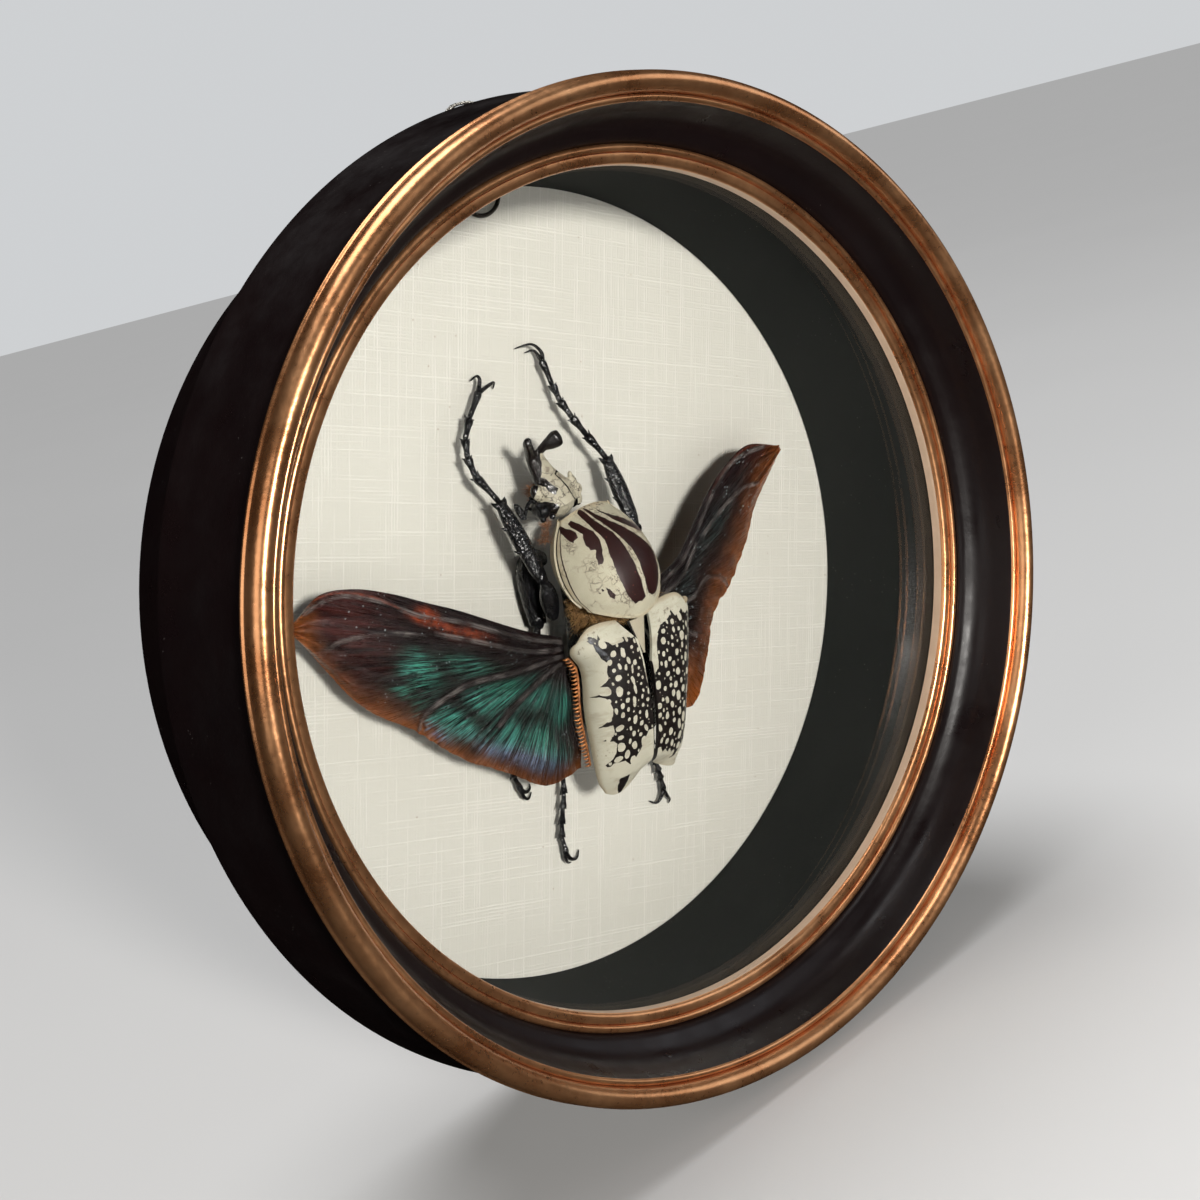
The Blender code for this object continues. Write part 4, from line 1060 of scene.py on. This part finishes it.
def antenna(side):
    """A feeler: a beaded stem and a club of three leaves."""
    b = Build()
    stem = along(STEM, np.linspace(0, 1, 14))
    for i in range(13):
        b.tube([stem[i], stem[i + 1]], [0.34 + 0.06 * (i % 2), 0.42 + 0.06 * (i % 2)], 10)
    for lift in (-0.45, 0.0, 0.45):
        club = along(np.array(CLUB) + (0, lift, 0), np.linspace(0, 1, 9))
        b.tube(club, [0.25, 0.5, 0.66, 0.72, 0.72, 0.7, 0.62, 0.45, 0.2], 12, 0.4)
    b.points = [np.array((FEELER_X + side * x, h, z)) for x, h, z in b.points]
    if side < 0:
        b.faces = [tuple(reversed(f)) for f in b.faces]
    b.piece(f"feeler_{SIDES[side]}", BLACK, "chitin", f"antenna_{SIDES[side]}")


def torso():
    """Thorax and abdomen, with the plates of the belly as soft steps."""
    b = Build()
    rings, sides = 60, 40
    t = np.linspace(0, 1, rings)
    half = along([5.6, 8.6, 12.0, 9.6], t) * 0.93
    top, low = along([12.0, 19.6, 20.0, 14.6], t) - 0.6, along([8.6, 7.8, 6.4, 9.5], t) + 0.6
    z = lerp(15.4, -40.6, t)
    close = np.maximum(np.clip(np.minimum(t, 1 - t) / 0.07, 0, 1) ** 0.5, 0.05)
    bands = 0.25 * np.abs(np.sin(t * 5 * pi)) * (t > 0.4)
    middle = (top + low) / 2
    for i in range(rings):
        for j in range(sides):
            a = 2 * pi * j / sides
            c, q = cos(a), sin(a)
            x = (half[i] - bands[i]) * close[i] * np.sign(c) * abs(c) ** 0.8
            h = middle[i] + (top[i] - low[i]) / 2 * close[i] * np.sign(q) * abs(q) ** 0.8
            b.points.append(np.array((x, h, z[i])))
    for i in range(rings - 1):
        for j in range(sides):
            k = (j + 1) % sides
            b.faces.append((i * sides + j, i * sides + k, (i + 1) * sides + k, (i + 1) * sides + j))
    b.faces.append(tuple(reversed(range(sides))))
    b.faces.append(tuple((rings - 1) * sides + j for j in range(sides)))
    b.piece("body", BLACK, "chitin", "torso")


# Each leg: the thigh's line, the shin's end, the ends of the foot's joints and its two claws
LEGS = {
    "front_right": (
        [(10.4, 10.4, -1.0), (13.4, 11.4, 3.4), (17.4, 12.4, 8.4)], (17.4, 8.0, 25.6),
        [(14.2, 7.0, 31.9), (12.2, 6.0, 36.7), (10.8, 5.0, 41.0), (10.6, 4.0, 44.9), (10.0, 3.2, 50.8)],
        [(10.4, 3.4, 52.6), (8.6, 2.8, 55.0), (5.2, 1.0, 55.0)],
        [(10.2, 2.2, 52.0), (9.6, 1.6, 53.4), (7.8, 0.7, 53.4)]),
    "front_left": (
        [(-10.2, 10.6, -3.6), (-11.0, 11.8, 0.4), (-11.8, 13.2, 4.6)], (-14.6, 8.2, 25.2),
        [(-18.1, 7.0, 32.1), (-18.1, 6.0, 36.3), (-16.9, 5.2, 40.1), (-13.7, 4.2, 44.0), (-8.8, 3.2, 48.7)],
        [(-7.6, 3.0, 51.0), (-7.7, 2.3, 52.0), (-8.8, 1.2, 51.3)],
        [(-5.8, 2.8, 49.2), (-3.4, 2.0, 49.4), (-3.3, 0.8, 48.0)]),
    "middle_right": (
        [(4.0, 3.2, -9.0), (11.0, 4.6, -7.0), (18.0, 6.4, -8.0)], (21.6, 4.0, -22.0),
        [(22.6, 3.7, -24.4), (23.5, 3.3, -26.6), (24.2, 2.9, -28.8), (24.4, 2.5, -31.0), (24.0, 2.1, -33.6)],
        [(24.6, 1.9, -35.2), (24.2, 1.4, -36.6), (23.0, 0.7, -36.8)],
        [(22.6, 1.9, -35.0), (21.6, 1.4, -36.0), (20.6, 0.7, -35.4)]),
    "middle_left": (
        [(-3.4, 3.0, 8.0), (-8.6, 3.6, 7.6), (-10.4, 4.2, -5.4)], (-21.0, 4.0, -23.0),
        [(-23.6, 3.6, -26.4), (-25.2, 3.2, -29.8), (-26.3, 2.8, -33.4), (-26.6, 2.4, -36.6),
         (-25.6, 2.0, -40.2)],
        [(-25.2, 1.9, -42.2), (-23.8, 1.4, -43.4), (-22.2, 0.7, -42.6)],
        [(-24.4, 1.9, -41.4), (-22.8, 1.4, -41.4), (-22.0, 0.7, -40.6)]),
    "hind_right": (
        [(4.0, 3.2, -18.0), (10.0, 3.4, -26.0), (15.0, 3.6, -33.0)], (12.4, 3.4, -45.0),
        [(12.7, 3.1, -47.8), (13.1, 2.8, -50.4), (13.5, 2.5, -52.8), (13.8, 2.2, -55.0), (13.9, 2.0, -58.0)],
        [(12.6, 1.8, -59.8), (11.2, 1.3, -60.6), (9.9, 0.7, -59.6)],
        [(14.6, 1.8, -60.0), (15.6, 1.3, -61.6), (15.2, 0.7, -62.6)]),
    "hind_left": (
        [(-4.0, 3.2, -18.0), (-10.0, 3.4, -25.0), (-15.6, 3.6, -30.0)], (-14.6, 3.6, -42.0),
        [(-15.4, 3.3, -45.6), (-16.6, 3.0, -49.0), (-17.8, 2.7, -52.4), (-18.6, 2.4, -55.6),
         (-18.4, 2.1, -59.8)],
        [(-17.4, 1.9, -61.8), (-15.4, 1.4, -62.6), (-13.8, 0.7, -61.4)],
        [(-18.8, 1.8, -61.0), (-18.0, 1.2, -62.6), (-16.8, 0.7, -63.2)]),
}


SHIN_GIRTH = [0.58, 0.7, 0.82, 0.9, 0.95, 0.97, 0.98, 1.0, 1.04, 1.06, 1.08, 1.08, 1.08, 1.06, 1.04, 1.0,
              0.95, 0.9, 0.84, 0.76, 0.68, 0.5]
JOINT_GIRTH = [0.46, 0.6, 0.62, 0.6, 0.6, 0.64, 0.7, 0.8, 0.9, 0.98, 0.9, 0.5]
LAST_GIRTH = [0.46, 0.56, 0.58, 0.56, 0.57, 0.6, 0.65, 0.72, 0.8, 0.86, 0.84, 0.5]


def leg(name):
    """A leg: thigh, knee, shin with its spurs, five foot joints with their points, and two claws."""
    thigh, shin_end, foot, *claws = LEGS[name]
    front = name.startswith("front")
    b = Build()
    stout = 1.35 if name == "middle_left" else 1.0
    t = np.linspace(0, 1, 16)
    b.tube(along(thigh, t), stout * along([1.1, 1.8, 2.2, 2.1, 1.5], t), 20, 0.85)
    knee, end = np.array(thigh[-1], float), np.array(shin_end, float)
    b.ball(knee, 1.35, 16, 12)
    shin = 1.95 if front else 1.4
    line = knee + (end - knee) * np.linspace(0.04, 1, 22)[:, None]
    b.tube(line, shin * np.array(SHIN_GIRTH), 24, 0.72)
    way = (end - knee) / np.linalg.norm(end - knee)
    across = np.cross(way, UP)
    for turn, reach in ((-1, 0.35), (1, 0.6)):
        b.tube([end - way * 1.6 + across * turn * shin * 0.3, end - way * 0.3 + across * turn * shin * 0.75,
                end + across * turn * (0.8 * shin + 0.9 * reach) + way * 0.8 * reach], [0.75, 0.5, 0.08], 10)
    for place in (0.45, 0.72) if front else (0.5,):
        spot = knee + (end - knee) * place
        b.tube([spot + across * shin * 0.6, spot + across * (shin * 1.02 + 0.2),
                spot + across * (shin * 1.05 + 0.9) + way * 0.7], [0.75, 0.4, 0.06], 10)
    joints = [end - way * 0.3] + [np.array(p, float) for p in foot]
    size = 1.12 if front else 0.98
    for a, c in zip(joints[:-1], joints[1:]):
        last = c is joints[-1]
        share = np.linspace(0.0, 1.03, 12)
        bow = np.sin(share * pi)[:, None] * np.array((0, 0.15, 0))
        girth = LAST_GIRTH if last else JOINT_GIRTH
        b.tube(a + (c - a) * share[:, None] + bow, size * np.array(girth), 14, 0.85)
        out = np.cross(c - a, UP)
        out /= np.linalg.norm(out)
        for turn in () if last else (-1, 1):
            b.tube([c - (c - a) * 0.12 + out * turn * 0.5, c + out * turn * size * 0.95,
                    c + (c - a) * 0.06 + out * turn * size * 1.25], [0.34, 0.22, 0.04], 7)
    tip = joints[-1]
    ahead = tip - joints[-2]
    for hook in claws:
        line = along([tip - ahead * 0.08] + hook, np.linspace(0, 1, 18))
        b.tube(line, 0.58 * np.linspace(1, 0.12, 18) ** 0.75, 10)
    b.tube([tip, tip + ahead / np.linalg.norm(ahead) * 0.9], [0.4, 0.12], 8)
    b.piece(f"limb_{name}", BLACK, "chitin", f"leg_{name}")


def hairs(name, roots, ways, length, width, material, seed, spread=0.5, droop=0.3):
    """Fine tapered hairs, three-sided, from roots along their ways."""
    r = np.random.default_rng(seed)
    points, faces = [], []
    for root, way in zip(roots, ways):
        way = np.asarray(way, float) + r.normal(0, spread, 3)
        way /= np.linalg.norm(way)
        size = length * r.uniform(0.5, 1.2)
        bend = r.normal(0, droop, 3)
        side = np.cross(way, r.normal(0, 1, 3))
        side /= np.linalg.norm(side)
        other = np.cross(way, side)
        start = len(points)
        for share, w in ((0, 1.0), (0.5, 0.75)):
            p = np.asarray(root) + way * size * share + bend * share**2 * size
            for a in (0, 2 * pi / 3, 4 * pi / 3):
                points.append(p + width * w * (side * cos(a) + other * sin(a)))
        points.append(np.asarray(root) + way * size + bend * size)
        for k in range(3):
            after = (k + 1) % 3
            faces.append((start + k, start + after, start + 3 + after, start + 3 + k))
            faces.append((start + 3 + k, start + 3 + after, start + 6))
        faces.append((start + 2, start + 1, start))
    mesh_of(name, world(np.array(points)), faces, material)


def fur_and_fringe():
    """Golden fur round the pronotum, short hairs at the mouth, and the fringe of the left wing case."""
    r = np.random.default_rng(5)
    roots, ways = [], []
    for _ in range(1500):
        x, z = r.uniform(-9.5, -3.0), r.uniform(-7.0, 1.0)
        h = 16.5 + 3.5 * step(-10, -4, x)
        roots.append((x, h + r.uniform(-1, 1), z))
        ways.append((-0.6, 0.6, -0.3))
    for _ in range(1300):
        x, z = r.uniform(-8.0, 11.0), r.uniform(-7.0, -3.4)
        roots.append((x, 20.5 + r.uniform(-0.5, 1.6), z))
        ways.append((0.1, 0.7, -0.8))
    hairs("thorax_fur", roots, ways, 2.2, 0.045, FUR, 6)
    roots, ways = [], []
    for _ in range(260):
        roots.append((r.uniform(-6.6, -4.0), r.uniform(8.0, 9.4), r.uniform(22.8, 25.6)))
        ways.append((-0.7, -0.1, 0.5))
    for _ in range(160):
        a = r.uniform(0, 1)
        roots.append((lerp(-6.4, -8.4, a) + r.normal(0, 0.3), 12.4 + r.normal(0, 0.8), lerp(18.6, 13.6, a)))
        ways.append((-0.8, 0.2, 0.2))
    hairs("face_fur", roots, ways, 1.9, 0.04, COMB, 7)
    comb = Build()
    teeth = 30
    strip = case_place(-1, np.full(teeth, 1.0), np.linspace(0.14, 0.77, teeth)) + np.array((-0.1, -1.7, 0.0))
    comb.tube(strip + (0.35, 0.2, 0), 0.25, 8)
    for i, p in enumerate(strip):
        size = r.uniform(0.55, 1.0) * (0.6 + 0.4 * sin(pi * i / (teeth - 1)))
        tooth = [(0.4, 0, 0), (-0.6 * size, -0.3, -0.3 * size), (-1.5 * size, -0.7, 0.05 * size)]
        comb.tube(p + np.array(tooth), [0.36, 0.24, 0.03], 8)
    comb.piece("case_fringe", COMB, "chalk")


def thorax_side():
    """The pale underside of the pronotum, which turns in below its edges, darker with painted shade the
    further in it turns.
    """
    t, w = np.meshgrid(np.linspace(0.02, 0.93, 60), np.linspace(0, 1, 16), indexing="ij")
    for side in SIDES:
        edge = shield_place(np.full(t.shape, float(side)), t)
        drop = lerp(0.5, 5.2, w) * (0.6 + 0.4 * np.sin(pi * t))
        places = edge + np.stack([-side * (0.2 + 2.4 * w**1.3), -drop, 0 * w], -1)
        # Painted shade: the tint grows darker the further the underside turns in under the edge
        plate(f"shield_side_{SIDES[side]}", places, SKIRT_T, SHIELD, (),
              {"ink": 0 * t, "stain_and_shade": 0.35 + 0.6 * w})


def beetle():
    torso()
    head()
    shield()
    thorax_side()
    scutellum()
    for side in SIDES:
        wing_case(side)
        flight_wing(side)
        antenna(side)
    for name in LEGS:
        leg(name)
    fur_and_fringe()
    pin = Build().tube([(0, 0.35, -12.0), (0, 3.5, -12.0), (0, 6.8, -12.0)], 0.8, 16)
    pin.piece("pin", WIRE, "wire", "mounting_pin")


moulding()
case_box()
wires()
beetle()


# Stage

FLOOR_Z = -0.1078
FLOOR_HALF = 40.0
SKY = (0.86, 0.88, 0.90)
SKY_STRENGTH = 0.72
AIM = Vector((0, -0.02, 0))
# Lamps: name, place, width, watts and tint
LAMPS = [
    ("key", (-0.31, -1.30, 0.26), 0.17, 20.0, (1.0, 0.97, 0.925)),
    ("side", (-1.3, -0.35, 0.45), 0.9, 5.0, (1.0, 0.97, 0.93)),
    ("fill", (1.0, -0.7, 0.5), 0.8, 3.0, (0.9, 0.95, 1.0)),
]
SUN_STRENGTH = 2.2
SUN_WIDTH, SUN_TILT = radians(40), radians(-6)


def placed(name, data):
    """An object of the stage or the camera, in the scene."""
    thing = bpy.data.objects.new(name, data)
    bpy.context.scene.collection.objects.link(thing)
    return thing


def stage():
    """Pale floor and studio light, kept out of the rays that would veil the blacks behind the glass."""
    corners = [(x * FLOOR_HALF, y * FLOOR_HALF, FLOOR_Z) for x, y in ((-1, -1), (1, -1), (1, 1), (-1, 1))]
    floor = bpy.data.meshes.new("floor")
    floor.from_pydata(corners, [], [(0, 1, 2, 3)])
    floor.materials.append(plain("floor", (0.60, 0.60, 0.60), (0.62, 0.62, 0.62), 3, (0.8, 0.9)))
    ground = placed("floor", floor)
    ground.visible_glossy = ground.visible_transmission = False
    sky = bpy.data.worlds.new("studio")
    sky.use_nodes = True
    background = sky.node_tree.nodes["Background"].inputs
    background["Color"].default_value = (*SKY, 1)
    background["Strength"].default_value = SKY_STRENGTH
    seen = sky.cycles_visibility
    seen.diffuse = seen.glossy = seen.transmission = False
    bpy.context.scene.world = sky
    bpy.context.scene.view_settings.view_transform = "Standard"
    for name, place, size, power, tint in LAMPS:
        lamp = bpy.data.lights.new(name, "AREA")
        lamp.size = size
        lamp.energy = power
        lamp.color = tint
        hung = placed(name, lamp)
        hung.location = place
        hung.rotation_euler = (AIM - Vector(place)).to_track_quat("-Z", "Y").to_euler()
    sun = bpy.data.lights.new("sky_light", "SUN")
    sun.energy = SUN_STRENGTH
    sun.angle = SUN_WIDTH
    placed("sky_light", sun).rotation_euler = (SUN_TILT, 0, 0)


# The photograph's place of view and its lean, worked out from the rings of the frame
CAMERA_AT = (-0.20335, -0.29893, 0.08347)
CAMERA_RIGHT = (0.7422, -0.6238, -0.2448)
CAMERA_UP = (0.3435, 0.0404, 0.9383)
LENS_MM, SENSOR_MM = 47.05, 36.0


def camera():
    right, up = Vector(CAMERA_RIGHT), Vector(CAMERA_UP)
    back = right.cross(up).normalized()
    up = back.cross(right).normalized()
    right.normalize()
    lens = bpy.data.cameras.new("camera")
    lens.sensor_width = SENSOR_MM
    lens.lens = LENS_MM
    lens.clip_start = 0.01
    held = placed("camera", lens)
    turned = Matrix((right, up, back)).transposed()
    held.matrix_world = Matrix.Translation(CAMERA_AT) @ turned.to_4x4()
    bpy.context.scene.camera = held


stage()
camera()
bpy.context.view_layer.update()
